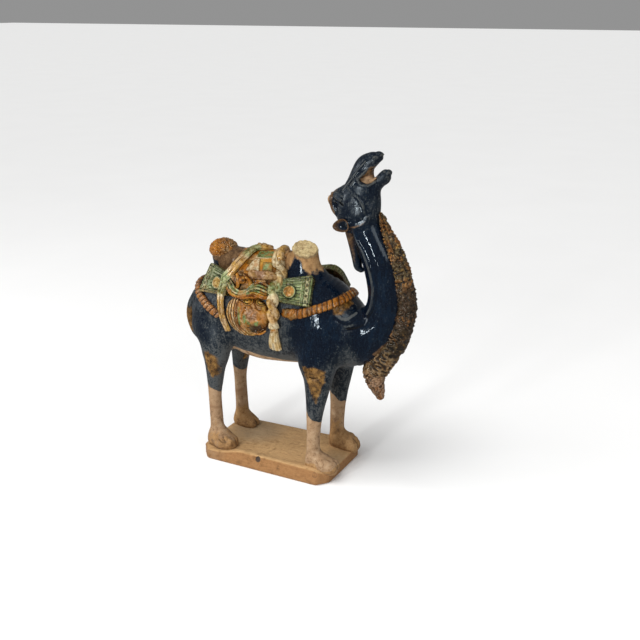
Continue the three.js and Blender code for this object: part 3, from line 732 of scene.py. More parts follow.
# How far it lies inside brown: the rear hump's sides, the tuft, the mane's edges, the lips, the
# smear below the fringe and the line of the jaw
def brownGlaze(x, outer, z):
    hump = within((x < -50) & (z > 340), z - edgeAt("rearBrown", x))
    tuft = within((z > 470) & (x < 130), np.minimum(105.0 - x + 0.3 * np.abs(z - 508), z - 474))
    mane = within((z > 388) & (z < 470) & (x < 158), 0.5 - np.abs(outer - 11))
    lips = np.where(z > 570, 1.5 - np.abs(inPatch(x, z, edges["mouthBuff"]) + 2.2), mouthClay(x, outer, z))
    smear = within((z < 320) & (x > 180), 4.5 - toLine(x, z, edges["fringeSmear"])[0])
    return np.maximum.reduce([hump, tuft, mane, lips, smear, 0.7 - toLine(x, z, edges["jawLine"])[0]])


# How thin the blue lies: thinner on the flank, the lower legs, the chest and the head, thicker on
# the rump, the shoulder, the neck and the humps, with a painted highlight along the shoulder fold
def thinBlue(x, outer, z):
    thin = (0.25 + 0.42 * step(85, 30, x) + 0.35 * step(245, 215, z) - 0.3 * step(-90, -140, x)
            + 0.42 * mound(x, z, (140, 243), (48, 32), 1.0) - 0.7 * step(150, 190, x)
            - 0.6 * step(330, 380, z) - 0.55 * mound(x, z, (92, 272), (60, 78), 1.0))
    # A painted highlight: a pale line along the shoulder fold, laid in as thin blue
    fold = step(2.6, 1.0, toLine(x, z, edges["foldHighlight"])[0]) * (outer > 20)
    return np.clip(thin, 0, 1) + 0.3 * step(455, 500, z) + 1.6 * fold


# How far the clay is from pink towards tan, less where pale slip covers the near fore foot
def warmClay(points):
    x, y, z = points.T
    warm = (0.6 * step(75, 25, z) + 0.45 * step(0.2, 1.0, cloud(points, 26, 3))
            + 0.9 * step(300, 340, z) * step(520, 500, z) + 0.9 * step(556, 562, z))
    slip = step(-1.5, 1.5, z - edgeAt("footSlip", x)) * step(66, 60, z) * (y < 0) * step(60, 74, x)
    return warm * (1 - 0.9 * slip) + 0.25 * step(0, 30, y) * step(100, 80, z)


# How stained the clay is: in bands round the legs and over the legs' upper clay; darker high in the mouth
def stainedClay(points):
    x, y, z = points.T
    far, hind = step(0, 30, y), step(-60, -90, x)
    ragged = z + cloud(points, 9, 4) * 5
    foreBand = step(42, 50, ragged) * step(93, 85, ragged) * far * step(60, 70, x)
    hindBand = step(106, 98, ragged) * step(78, 86, ragged) * hind
    stain = 0.3 * foreBand + 0.35 * hindBand + 0.2 * far * step(104, 92, z) * hind
    return stain + 1.1 * step(550, 562, z) + 0.35 * step(-3, 3, cloud(points, 11, 9) * 6 + z - 96) * (z < 200)


def paintBody(points, grid):
    x, y, z = points.T
    outer = np.abs(y)
    reach, share = (3.5, 2.2) if grid is headGrid else (4.0, 4)
    return {"clay": bareClay(points), "amber": amberGlaze(x, outer, z), "brown": brownGlaze(x, outer, z),
            "thin": thinBlue(x, outer, z), "warm": np.clip(warmClay(points), 0, 1),
            "stain": np.clip(stainedClay(points), 0, 1),
            "bend": np.clip(bending(grid, points, reach) * share, -1, 1)}


# Wrapping: a table of how far the body reaches round a level line, on which all the gear is laid

wrap = {"axis": 300.0, "pitch": 2.0}          # the line's height, and the table's spacing in mm and degrees
wrap["x"], wrap["turn"] = np.arange(-190, 152, wrap["pitch"]), np.arange(-150, 151, wrap["pitch"])


# Walks out from the line in every direction and keeps where the field first turns positive
def wrapTable():
    x, turn = np.meshgrid(wrap["x"], np.radians(wrap["turn"]), indexing="ij")
    out = np.arange(12, 140, wrap["pitch"])
    points = placed(x[..., None], -np.sin(turn)[..., None] * out, wrap["axis"] + np.cos(turn)[..., None] * out)
    field = sampled(bodyGrid, points)
    first = np.maximum(np.where((field > 0).any(-1), (field > 0).argmax(-1), len(out) - 1), 1)
    before, after = (np.take_along_axis(field, first[..., None] - back, -1)[..., 0] for back in (1, 0))
    return out[first - 1] + wrap["pitch"] * np.clip(before / np.minimum(before - after, -1e-3), 0, 1)


wrap["reach"] = wrapTable()


# The table's value between its rows and columns, as a place on the body
def wrapPoint(x, turn):
    i, j = (np.clip((value - wrap[key][0]) / wrap["pitch"], 0, len(wrap[key]) - 1.001)
            for key, value in (("x", x), ("turn", turn)))
    a, b = i.astype(int), j.astype(int)
    f, g = i - a, j - b
    table = wrap["reach"]
    reach = (table[a, b] * (1 - f) * (1 - g) + table[a + 1, b] * f * (1 - g)
             + table[a, b + 1] * (1 - f) * g + table[a + 1, b + 1] * f * g)
    angle = np.radians(turn)
    return placed(x, -np.sin(angle) * reach, wrap["axis"] + np.cos(angle) * reach)


# A place on the body: x along it, degrees from the top towards one side, lifted off the clay
def onBody(x, turn, lift, side=1, soft=4.0):
    x, turn, lift = np.broadcast_arrays(np.asarray(x, float), np.asarray(turn, float) * side,
                                        np.asarray(lift, float))
    along = wrapPoint(x + soft, turn) - wrapPoint(x - soft, turn)
    about = wrapPoint(x, turn + soft) - wrapPoint(x, turn - soft)
    normal = unit(np.cross(about, along))
    return wrapPoint(x, turn) + normal * lift[..., None], normal


# A run over the body, spaced evenly. Rows are x, degrees, lift, half width and half thickness.
def runOnBody(rows, side, spacing):
    line = smoothRows(rows, 40 * len(rows))
    points, _ = onBody(line[:, 0], line[:, 1], line[:, 2], side)
    passed = passedBy(np.linalg.norm(np.diff(points, axis=0), axis=1))
    along = np.linspace(0, passed[-1], max(int(passed[-1] / spacing), 6))
    columns = resampled(line, passed, along)
    points, normals = onBody(columns[:, 0], columns[:, 1], columns[:, 2], side)
    return {"s": along[:, None], "path": points, "normals": normals, "half": columns[:, 3:4],
            "thick": columns[:, 4:5]}


# A profile carried along a path, its first number across the run and its second off the body. The
# ends are rounded: over the cap's length the profile shrinks as a quarter circle does.
def carry(run, across, off, cap=3.0):
    along = unit(np.gradient(run["path"], axis=0))
    sideways = unit(np.cross(along, run["normals"]))
    out = np.cross(sideways, along)
    s = run["s"][:, 0]
    shrink = roundedEnd(np.clip(np.minimum(s, s[-1] - s) / cap, 0, 1))
    across, off = (middle + (value - middle) * shrink
                   for value, middle in ((value, value.mean(1, keepdims=True)) for value in (across, off)))
    return run["path"][:, None] + sideways[:, None] * across[..., None] + out[:, None] * off[..., None]


print("body wrapped")


# Materials: every pattern reads object coordinates or a number painted on the piece

# A node with its inputs set or linked; the inputs go by name or by number
def wire(tree, kind, inputs, **settings):
    node = tree.nodes.new(kind)
    for key, value in settings.items():
        setattr(node, key, value)
    for key, value in inputs.items():
        if isinstance(value, bpy.types.NodeSocket):
            tree.links.new(value, node.inputs[key])
        else:
            node.inputs[key].default_value = value
    return node.outputs


# A new material with its node tree and its object coordinates
def startMaterial(name):
    material = bpy.data.materials.new(name)
    material.use_nodes = True
    tree = material.node_tree
    tree.nodes.clear()
    return material, tree, wire(tree, "ShaderNodeTexCoord", {})["Object"]


# The numbers painted on the piece under each name
def painted(tree, *names):
    return [wire(tree, "ShaderNodeAttribute", {}, attribute_name=name)[2] for name in names]


def noise(tree, place, scale, detail=3.0, rough=0.55):
    return wire(tree, "ShaderNodeTexNoise", {"Vector": place, "Scale": scale, "Detail": detail,
                                             "Roughness": rough})[0]


# Distance from the points of a cell pattern, or from its edges
def cells(tree, place, scale, **settings):
    return wire(tree, "ShaderNodeTexVoronoi", {"Vector": place, "Scale": scale}, **settings)["Distance"]


# The place with its axes scaled, so that patterns on it run along those with small numbers
def drawnOut(tree, place, scale, turn=0.0):
    return wire(tree, "ShaderNodeMapping", {"Vector": place, "Rotation": (0.0, 0.0, turn), "Scale": scale})[0]


# The first value plus each other value times its number
def sums(tree, first, *rest):
    for value, times in rest:
        first = wire(tree, "ShaderNodeMath", {0: value, 1: times, 2: first}, operation="MULTIPLY_ADD")[0]
    return first


def product(tree, first, second):
    return wire(tree, "ShaderNodeMath", {0: first, 1: second}, operation="MULTIPLY")[0]


# A soft step from 0 at low to top at high
def soft(tree, value, low, high, top=1.0):
    return wire(tree, "ShaderNodeMapRange", {"Value": value, "From Min": low, "From Max": high,
                                             "To Min": 0.0, "To Max": top},
                interpolation_type="SMOOTHSTEP")[0]


# A colour given as a socket, as three numbers or by its name in shades
def colourOf(value):
    value = shades[value] if isinstance(value, str) else value
    return value + (1.0,) if isinstance(value, tuple) else value


def mixed(tree, factor, first, second, way="MIX"):
    return wire(tree, "ShaderNodeMix", {0: factor, 6: colourOf(first), 7: colourOf(second)},
                data_type="RGBA", blend_type=way)[2]


# Colours laid over another, each where its value passes from low to high, up to the share top
def laid(tree, colour, *layers):
    for value, low, high, top, over in layers:
        colour = mixed(tree, soft(tree, value, low, high, top), colour, over)
    return colour


def ramp(tree, factor, name):
    node = tree.nodes.new("ShaderNodeValToRGB")
    tree.links.new(factor, node.inputs[0])
    elements = node.color_ramp.elements
    while len(elements) < len(ramps[name]):
        elements.new(0.5)
    for element, (position, colour) in zip(elements, ramps[name]):
        element.position = position
        element.color = colour + (1.0,)
    return node.outputs[0]


def finishMaterial(material, tree, colour, rough, height, depth, index, sheen=(1.0, 1.0, 1.0)):
    normal = wire(tree, "ShaderNodeBump", {"Height": height, "Distance": depth, "Strength": 1.0})[0]
    shader = wire(tree, "ShaderNodeBsdfPrincipled", {"Base Color": colour, "Roughness": rough, "Normal": normal,
                                                     "IOR": index, "Specular Tint": sheen + (1.0,)})
    wire(tree, "ShaderNodeOutputMaterial", {"Surface": shader[0]})
    return material


# Colours of glaze and clay from dark to pale, each at its place on a ramp of noise
ramps = {
    "blue": [(0.0, (0.0016, 0.0034, 0.0088)), (0.35, (0.0032, 0.0066, 0.0138)), (0.60, (0.006, 0.0105, 0.016)),
             (1.0, (0.066, 0.070, 0.070))],
    "amber": [(0.34, (0.008, 0.005, 0.003)), (0.44, (0.070, 0.034, 0.008)), (0.55, (0.18, 0.088, 0.020)),
              (0.68, (0.34, 0.20, 0.06))],
    "brown": [(0.34, (0.020, 0.010, 0.005)), (0.48, (0.076, 0.040, 0.018)), (0.66, (0.17, 0.100, 0.048))],
    "pinkClay": [(0.32, (0.16, 0.088, 0.042)), (0.44, (0.27, 0.165, 0.088)), (0.56, (0.36, 0.240, 0.140)),
                 (0.70, (0.52, 0.40, 0.27))],
    "tanClay": [(0.34, (0.11, 0.055, 0.022)), (0.44, (0.23, 0.125, 0.050)), (0.54, (0.33, 0.190, 0.080)),
                (0.70, (0.47, 0.31, 0.16))],
    "slabClay": [(0.36, (0.26, 0.145, 0.062)), (0.46, (0.46, 0.282, 0.128)), (0.54, (0.58, 0.37, 0.175)),
                 (0.64, (0.68, 0.50, 0.28))],
    "brokenClay": [(0.32, (0.15, 0.095, 0.042)), (0.43, (0.34, 0.25, 0.12)), (0.54, (0.47, 0.37, 0.19)),
                   (0.68, (0.62, 0.52, 0.32))],
}
shades = {
    # The ridge colour is thin glaze and painted highlight; the hollow colours are painted shade
    "blueRidgeThinAndHighlight": (0.075, 0.075, 0.065), "blueStreak": (0.0024, 0.0085, 0.020),
    "blueFleck": (0.07, 0.085, 0.088), "bluePit": (0.0008, 0.0022, 0.0055),
    "blueHollowShade": (0.0010, 0.0016, 0.003), "hollowShade": (0.006, 0.005, 0.005),
    "clayStain": (0.19, 0.095, 0.045), "clayCrack": (0.10, 0.055, 0.030), "claySpeck": (0.11, 0.060, 0.032),
    "clayHollowShade": (0.10, 0.055, 0.025), "glazeEdge": (0.060, 0.042, 0.030),
    "thinGlaze": (0.42, 0.33, 0.22), "wornGlaze": (0.66, 0.56, 0.38), "crackle": (0.06, 0.030, 0.012),
    "glazePit": (0.022, 0.012, 0.007),
    "slabRust": (0.33, 0.165, 0.060), "slabShadow": (0.54, 0.43, 0.35), "slabWorn": (0.26, 0.20, 0.13),
    "slabLine": (0.10, 0.055, 0.028), "slabPit": (0.08, 0.045, 0.025), "slabStain": (0.045, 0.036, 0.032),
    "breakHollowShade": (0.20, 0.12, 0.055),
}


# Glazed clay of the body: blue run thin over the ridges and paled there further by a painted
# highlight, amber and brown where they are painted, and bare clay from pink to tan, stained,
# cracked and specked, with a dark edge of glaze round it; painted shade darkens the creases
def camelGlaze():
    material, tree, place = startMaterial("camelGlaze")
    drips = drawnOut(tree, place, (1.0, 1.0, 0.22))
    broad, middle, fine = (noise(tree, place, *sizes) for sizes in ((26.0, 4.0), (120.0, 4.0), (700.0, 3.0)))
    runs, hairs = noise(tree, drips, 150.0, 3.0), noise(tree, drips, 460.0, 3.0, 0.6)
    specks = noise(tree, place, 330.0, 2.0, 0.6)
    bend, thin, warm, stain = painted(tree, "bend", "thin", "warm", "stain")
    ragged = sums(tree, -4.0, (middle, 6.0), (fine, 2.0))

    def edged(name, spread, width):
        return soft(tree, sums(tree, painted(tree, name)[0], (ragged, spread)), -width, width)

    thinness = sums(tree, -2.20, (thin, 0.9), (broad, 1.2), (runs, 0.8), (middle, 0.8), (specks, 1.9),
                    (hairs, 1.4), (bend, 0.2))
    # Ridges are paled by thin glaze and a painted highlight, and hollows darkened by painted shade
    ridges = sums(tree, bend, (specks, 1.2), (-0.6, 1.0))
    streaks = sums(tree, -0.15, (runs, 0.5), (middle, 0.3), (broad, 0.5), (thin, -0.2))
    flecks = sums(tree, cells(tree, place, 420.0), (broad, 0.5), (middle, 0.3))
    blue = laid(tree, ramp(tree, soft(tree, thinness, 0.45, 1.90), "blue"),
                (ridges, 0.35, 1.05, 0.55, "blueRidgeThinAndHighlight"), (streaks, 0.46, 0.64, 0.7, "blueStreak"),
                (flecks, 0.54, 0.42, 0.4, "blueFleck"), (fine, 0.55, 0.68, 0.75, "bluePit"),
                (bend, -0.25, -1.0, 0.8, "blueHollowShade"))

    mottle = sums(tree, 0.0, (middle, 0.6), (fine, 0.4))
    amber = ramp(tree, mottle, "amber")
    brown = ramp(tree, sums(tree, 0.0, (middle, 0.55), (fine, 0.45)), "brown")
    pink = ramp(tree, sums(tree, 0.0, (broad, 0.2), (middle, 0.5), (fine, 0.3)), "pinkClay")
    tan = ramp(tree, sums(tree, 0.0, (broad, 0.3), (middle, 0.4), (fine, 0.3)), "tanClay")
    flaking = sums(tree, -1.25, (noise(tree, place, 60.0, 6.0, 0.68), 2.6), (warm, 0.9))
    wandering = wire(tree, "ShaderNodeTexNoise", {"Vector": place, "Scale": 60.0})[1]
    warped = wire(tree, "ShaderNodeMix", {0: 0.04, 4: place, 5: wandering}, data_type="VECTOR")[1]
    cracks = sums(tree, cells(tree, warped, 75.0, feature="DISTANCE_TO_EDGE"), (middle, 0.35), (-0.17, 1.0))
    # Bare clay is darkened in its hollows by painted shade
    clay = laid(tree, mixed(tree, soft(tree, flaking, 0.26, 0.52), pink, tan),
                (sums(tree, stain, (mottle, 1.6), (-0.8, 1.0)), 0.25, 0.95, 0.75, "clayStain"),
                (cracks, 0.012, 0.0, 0.45, "clayCrack"), (specks, 0.64, 0.72, 0.5, "claySpeck"),
                (bend, -0.1, -0.9, 0.7, "clayHollowShade"))

    colour = mixed(tree, edged("brown", 0.6, 1.4), blue, brown)
    colour = mixed(tree, edged("amber", 1.2, 2.6), colour, amber)
    # Painted shade: every colour darkened in the creases
    colour = laid(tree, colour, (bend, -0.35, -1.0, 0.85, "hollowShade"))
    bare = edged("clay", 0.5, 0.5)
    colour = mixed(tree, bare, colour, clay)
    rim = product(tree, bare, sums(tree, 1.0, (bare, -1.0)))
    colour = mixed(tree, product(tree, rim, 2.5), colour, "glazeEdge")
    dulled = soft(tree, sums(tree, bend, (broad, 1.2), (middle, 1.0), (thin, 2.0)), 1.25, 2.1)
    rough = mixed(tree, bare, mixed(tree, dulled, (0.06,) * 3, (0.40,) * 3), (0.88,) * 3)
    glazeSkin = sums(tree, 0.0, (runs, 0.45), (middle, 0.25), (hairs, 0.12), (fine, 0.03))
    height = mixed(tree, bare, glazeSkin, sums(tree, -0.6, (fine, 0.55), (middle, 0.9)))
    return finishMaterial(material, tree, colour, rough, height, 0.0006, 1.34, (0.82, 0.93, 1.0))


# The four glazes of the gear: colour of the pooled glaze and painted shade in the hollows, the second
# colour and its share, the share worn to the pale clay, and how grainy it is
gearGlazes = {
    "gearGlaze": ((0.026, 0.012, 0.005), (0.30, 0.105, 0.008), 0.60, 0.12, 0.0),
    "ropeGlaze": ((0.070, 0.040, 0.016), (0.32, 0.19, 0.045), 0.30, 0.45, 0.0),
    "boardGlaze": ((0.006, 0.013, 0.005), (0.040, 0.075, 0.018), 0.50, 0.0, 0.0),
    "woolGlaze": ((0.003, 0.0025, 0.002), (0.020, 0.014, 0.006), 0.50, 0.03, 0.12),
}


# Poured lead glaze: each place has its own tint, duller where noise is low, run over in patches by
# a second colour, crackled, dark in the hollows where it lies thick and where painted shade falls, and pitted
def gearGlaze(name, poolAndShadeColour, runColour, runShare, worn, grain):
    material, tree, place = startMaterial(name)
    drips = drawnOut(tree, place, (1.0, 1.0, 0.3))
    broad, middle, fine = (noise(tree, place, *sizes) for sizes in ((45.0, 4.0), (210.0, 4.0), (900.0, 3.0)))
    runs = noise(tree, drips, 130.0, 4.0, 0.62)
    tint = wire(tree, "ShaderNodeAttribute", {}, attribute_name="tint")[0]
    pool, = painted(tree, "pool")
    dull = mixed(tree, 1.0, tint, "thinGlaze", "MULTIPLY")
    crackle = sums(tree, cells(tree, place, 430.0, feature="DISTANCE_TO_EDGE"), (broad, 0.15))
    colour = mixed(tree, soft(tree, sums(tree, 0.0, (broad, 0.4), (middle, 0.6)), 0.55, 0.40), tint, dull)
    # The painted pool number darkens hollows, grooves and undersides: pooled glaze and painted shade
    colour = laid(tree, colour, (runs, 0.50, 0.62, runShare, runColour),
                  (sums(tree, 0.0, (middle, 0.6), (fine, 0.4)), 0.56, 0.70, worn, "wornGlaze"),
                  (crackle, 0.13, 0.08, 0.4, "crackle"),
                  (sums(tree, pool, (middle, 0.7), (-0.35, 1.0)), 0.12, 0.80, 1.0, poolAndShadeColour),
                  (sums(tree, 0.0, (fine, 0.7), (middle, 0.3)), 0.58, 0.66, 0.85, "glazePit"))
    rough = mixed(tree, soft(tree, middle, 0.38, 0.62), (0.06 + grain,) * 3, (0.30 + grain,) * 3)
    height = sums(tree, 0.0, (runs, 0.35), (middle, 0.55), (fine, 0.10 + grain))
    return finishMaterial(material, tree, colour, rough, height, 0.0010, 1.46, (1.0, 0.93, 0.80))


# Bare clay of the slab: streaks along it from the hand that smoothed it, painted shade on its
# upright sides, greyer where it is worn, pitted and stained
def slabClay():
    material, tree, place = startMaterial("slabClay")
    along = drawnOut(tree, place, (0.14, 1.0, 1.6), 0.10)
    broad, middle, fine = (noise(tree, place, *sizes) for sizes in ((22.0, 3.0), (110.0, 5.0), (700.0, 3.0)))
    streaks, lines = noise(tree, along, 190.0, 5.0, 0.65), noise(tree, along, 620.0, 3.0)
    side, warm, stain = painted(tree, "side", "warm", "stain")
    blend = sums(tree, 0.0, (streaks, 0.18), (middle, 0.36), (fine, 0.22), (lines, 0.08), (broad, 0.16))
    rusty = sums(tree, 0.0, (middle, 0.6), (broad, 0.4))
    colour = laid(tree, ramp(tree, blend, "slabClay"), (rusty, 0.52, 0.62, 0.45, "slabRust"))
    # Painted shade: the upright sides darkened
    colour = mixed(tree, side, colour, mixed(tree, 1.0, colour, "slabShadow", "MULTIPLY"))
    worn = sums(tree, 1.25, (warm, -1.0), (middle, 0.5), (-0.5, 1.0))
    colour = laid(tree, colour, (worn, 0.2, 1.0, 0.7, "slabWorn"),
                  (sums(tree, 0.0, (lines, 0.4), (middle, 0.6)), 0.40, 0.32, 0.6, "slabLine"),
                  (fine, 0.64, 0.74, 0.7, "slabPit"), (stain, 0.2, 0.9, 0.92, "slabStain"))
    height = sums(tree, 0.0, (streaks, 0.35), (lines, 0.15), (middle, 0.35), (fine, 0.2))
    return finishMaterial(material, tree, colour, 0.85, height, 0.0018, 1.4)


# Rough pale clay where the front hump is broken, darkened in its hollows by painted shade
def brokenClay():
    material, tree, place = startMaterial("brokenClay")
    middle, fine = noise(tree, place, 170.0, 5.0), noise(tree, place, 800.0, 4.0)
    pool, = painted(tree, "pool")
    blend = sums(tree, 0.0, (middle, 0.55), (fine, 0.45))
    colour = laid(tree, ramp(tree, blend, "brokenClay"), (pool, 0.3, 1.0, 0.75, "breakHollowShade"))
    height = sums(tree, 0.0, (middle, 0.6), (fine, 0.4))
    return finishMaterial(material, tree, colour, 0.9, height, 0.0018, 1.4)


glazeOfBody, clayOfBreak, clayOfSlab = camelGlaze(), brokenClay(), slabClay()
glazeOfGear, glazeOfRopes, glazeOfBoards, glazeOfWool = (gearGlaze(name, *values)
                                                         for name, values in gearGlazes.items())
print("materials ready")


# Body and head, each a skin of its field, with the seam inside the neck
bodySkin = fieldSkin(trimmed(bodyGrid, body["neckSeam"] + 3, False))
bodySkin["paint"] = paintBody(bodySkin["points"], bodyGrid)
makePiece("figureBody", [bodySkin], glazeOfBody)
headSkin = fieldSkin(trimmed(headGrid, body["neckSeam"] - 4, True))
headSkin["paint"] = paintBody(headSkin["points"], headGrid)
makePiece("figureHead", [headSkin], glazeOfBody)


slab = {
    "x": (-145, 128), "near": (-79, -83), "far": (80, 87), "top": 20, "clipX": 18, "clipY": 22, "edge": 3.0,
    "swell": 7.5,          # how much the near edge rises towards the fore foot
    "hole": (-16, 21, 4.8), "ring": (105, 19, 4.4), "chip": (27, -55, 4.0),
}


# The slab's outline is a rectangle a little out of true, with its corners cut off; rings of it
# shrink over rounded edges, and the near edge swells into the foot that stands on it
def buildSlab():
    x0, x1 = slab["x"]
    cx, cy = slab["clipX"], slab["clipY"]
    corners = np.array([(x0 + cx, -1), (x1 - cx, -1), (x1, -1 + cy / 82), (x1, 1 - cy / 82), (x1 - cx, 1),
                        (x0 + cx, 1), (x0, 1 - cy / 82), (x0, -1 + cy / 82), (x0 + cx, -1)], float)
    share = (corners[:, 0] - x0) / (x1 - x0)
    near, far = (slab[side][0] + (slab[side][1] - slab[side][0]) * share for side in ("near", "far"))
    corners[:, 1] = np.where(corners[:, 1] < 0, -corners[:, 1] * near, corners[:, 1] * far)
    passed = passedBy(np.hypot(*np.diff(corners, axis=0).T))
    outline = resampled(corners, passed, np.linspace(0, passed[-1], 560, endpoint=False))
    outline = np.stack([smoothedRound(column, np.exp(-np.linspace(-2, 2, 15) ** 2)) for column in outline.T], 1)
    edge, top = slab["edge"], slab["top"]
    bend = [(edge * (1 - math.sin(a)), edge * (1 - math.cos(a))) for a in np.linspace(0, math.pi / 2, 6)]
    inset = [(0.97, 0), (0.3, 0), (0.06, 0)] + [(far / 80, up) for far, up in bend]
    inset += [(0, z) for z in np.linspace(edge + 0.8, top - edge - 0.8, 16)]
    inset += [(up / 80, top - far) for far, up in bend] + [(d, top) for d in np.linspace(0.05, 0.985, 66)]
    middle = np.array([(x0 + x1) / 2, 0])
    rings = np.array([np.column_stack([middle + (outline - middle) * (1 - part), np.full(len(outline), z)])
                      for part, z in inset])
    x, y, z = (rings[..., k].copy() for k in range(3))
    bumps = (cloud(rings, 30, 5) * 0.5 + cloud(rings * [1, 1, 2.5], 9, 6) * 0.35
             + cloud(rings * [0.3, 1, 1.5], 4, 7) * 0.25)
    swell = slab["swell"] * np.exp(-((y + 76) / 24) ** 2) * step(-105, -50, x) * step(126, 100, x)
    rings[..., 2] = z * (1 + swell / top) + np.where(z > top - 1, bumps - 0.6, 0)
    upright = step(0.5, 6, z) * step(top + 0.2, top - 4, z)
    rings[..., 1] += np.where(y < 0, 1, -1) * (0.6 - bumps) * upright * (np.abs(y) > 60)
    rings[..., 0] -= np.where(x > 0, 1, -1) * (0.6 - bumps) * upright * (np.abs(y) <= 60)
    rings[..., 1] += 0.9 * swell * step(4, top + 2, z) * (y < -50) * step(-50, -78, y)
    side = y < -70
    hole, ring = (np.hypot(rings[..., 0] - a, rings[..., 2] - b) - radius
                  for a, b, radius in (slab["hole"], slab["ring"]))
    sunk, dent = step(1.2, -0.6, hole) * side, hill(ring, 1.3) * side
    chip = np.hypot((x - slab["chip"][0]) * 0.7, (y - slab["chip"][1]) * 1.8) - slab["chip"][2]
    chip = step(1.5, -1.5, chip + cloud(rings, 5, 9) * 2) * (z > top - 1)
    rings[..., 1] += sunk * 3.0 + dent * 0.8
    rings[..., 2] -= chip * 0.9
    warm = 1 - 0.9 * mound(x, y, (-85, 35), (85, 80), 1.0) - 0.7 * mound(x, y, (110, -10), (50, 60), 1.0)
    warm = np.where(z > top - 1, warm, 1 - 0.5 * step(-60, -110, x))
    stain = np.clip(sunk * 1.5 + dent * 0.5 + chip * 0.7, 0, 1)
    return tubeSkin(rings, warm=np.clip(warm, 0, 1), stain=stain, side=step(top + 0.5, top - 2, z))


makePiece("figureSlab", [buildSlab()], clayOfSlab)


fringe = {
    # x, z, inner depth, outer depth, half width: down the front of the neck to the hanging tip
    "rows": [(190, 498, 2, 2, 2.5), (195, 485, 4, 5, 5), (201, 468, 6, 8, 8), (212, 443, 9, 14, 12),
             (225, 407, 12, 18, 15), (236, 371, 15, 18, 17), (241, 335, 18, 18, 18), (234, 300, 21, 20, 20),
             (219, 265, 24, 22, 21), (200, 238, 23, 24, 20), (184, 212, 19, 26, 18), (186, 190, 14, 19, 14),
             (194, 172, 10, 12, 10), (200, 157, 4, 4, 4)],
    "curl": 7.4, "height": 5.2, "spacing": 0.8,
}


# Rings of an oval round the run, deeper on its outer side and raised all over by small curls of
# two sizes; lower down the curls join into worms where a warped noise passes through nought
def buildFringe():
    rough = smoothRows(fringe["rows"], 400)
    passed = passedBy(np.hypot(*np.diff(rough[:, :2], axis=0).T))
    along = np.linspace(0, passed[-1], int(passed[-1] / fringe["spacing"]))
    line = resampled(rough, passed, along)
    run = unit(np.gradient(line[:, :2], axis=0))
    inner = placed(run[:, 1], 0.0, -run[:, 0])
    turn = turnsOf(170)
    inward, sideways = np.cos(turn), np.sin(turn)
    shrink = roundedEnd(np.clip(along / 12, 0, 1) * step(-2, 5, along[-1] - along))
    depth = np.where(inward > 0, line[:, 2:3], line[:, 3:4])
    s = along[:, None]
    seamless = placed(s, 17 * np.cos(turn), 17 * np.sin(turn))
    warped = (seamless + (cloud(seamless, 8, 11) * 3.5)[..., None]) * [1.1, 0.9, 0.9]
    level = s / s[-1]
    worms = np.clip(1 - np.abs(cloud(warped, 5.5, 12)) * 3.0, 0, 1)
    curls = curlsOn(warped, fringe["curl"], 0.55, 5)
    relief = curls + (worms - curls) * 0.7 * step(0.50, 0.62, level) * step(0.86, 0.78, level)
    size = fringe["height"] * (0.8 + 0.5 * cloud(seamless, 11, 18)) * (1 - 0.45 * step(0.84, 0.97, level))
    lift = (relief - 0.4) * size + cloud(seamless, 2.0, 13) * 0.5
    across = inward * (depth + lift) * shrink
    wide = sideways * (line[:, 4:5] + lift * 0.9) * shrink
    centre = placed(line[:, 0], 0.0, line[:, 1])
    rings = centre[:, None] + inner[:, None] * across[..., None] + np.array([0, 1, 0]) * wide[..., None]
    high, top, upper = step(0.2, 0.6, relief), step(0.45, 0.85, relief), step(0.46, 0.26, level)
    blots = blotsOn(seamless)
    # The slate blots are a painted grey sheen
    tint = tintOf(
        rings.shape[:2], "umber", ("olive", high * (0.12 + 0.5 * upper)),
        ("rust", high * blots(12, 14, -0.1, 0.4) * upper * 0.7),
        ("amber", top * blots(7, 14, -0.1, 0.35) * upper * 0.8),
        ("gold", top * blots(5, 16, 0.2, 0.6) * (0.3 + 0.5 * upper)),
        ("cream", top * blots(4, 19, 0.5, 0.8) * step(0.34, 0.1, level) * 0.8),
        ("slate", blots(7, 15, 0.35, 0.6) * (0.15 + 0.35 * step(0.6, 0.7, level))),
        ("umber", step(0.34, 0.40, level) * step(0.60, 0.50, level) * 0.8),
        ("amber", top * step(0.46, 0.52, level) * step(0.66, 0.58, level) * blots(8, 21, -0.2, 0.3) * 0.6),
        ("umber", step(0.62, 0.70, level) * step(0.90, 0.80, level) * 0.15),
        ("olive", step(0.60, 0.70, level) * top * 0.7), ("buff", step(0.66, 0.76, level) * high * 0.6),
        ("pink", step(0.80, 0.92, level) * (0.35 + 0.5 * high)),
        ("rust", step(0.86, 0.94, level) * blots(7, 17, 0.0, 0.4) * 0.6),
        ("ink", step(0.80, 0.86, level) * blots(6, 20, 0.35, 0.55) * 0.7))
    # Painted shade in the gaps between the curls, weaker lower down
    pool = np.clip(1.0 - relief * 2.2, 0, 1) * (1 - 0.5 * step(0.62, 0.80, level))
    return tubeSkin(rings, tint=tint, pool=pool)


makePiece("neckFringe", [buildFringe()], glazeOfWool)


knob = {"middle": (-123, 0, 396), "radii": (27.5, 25, 21.5), "curl": 5.0, "height": 3.2}


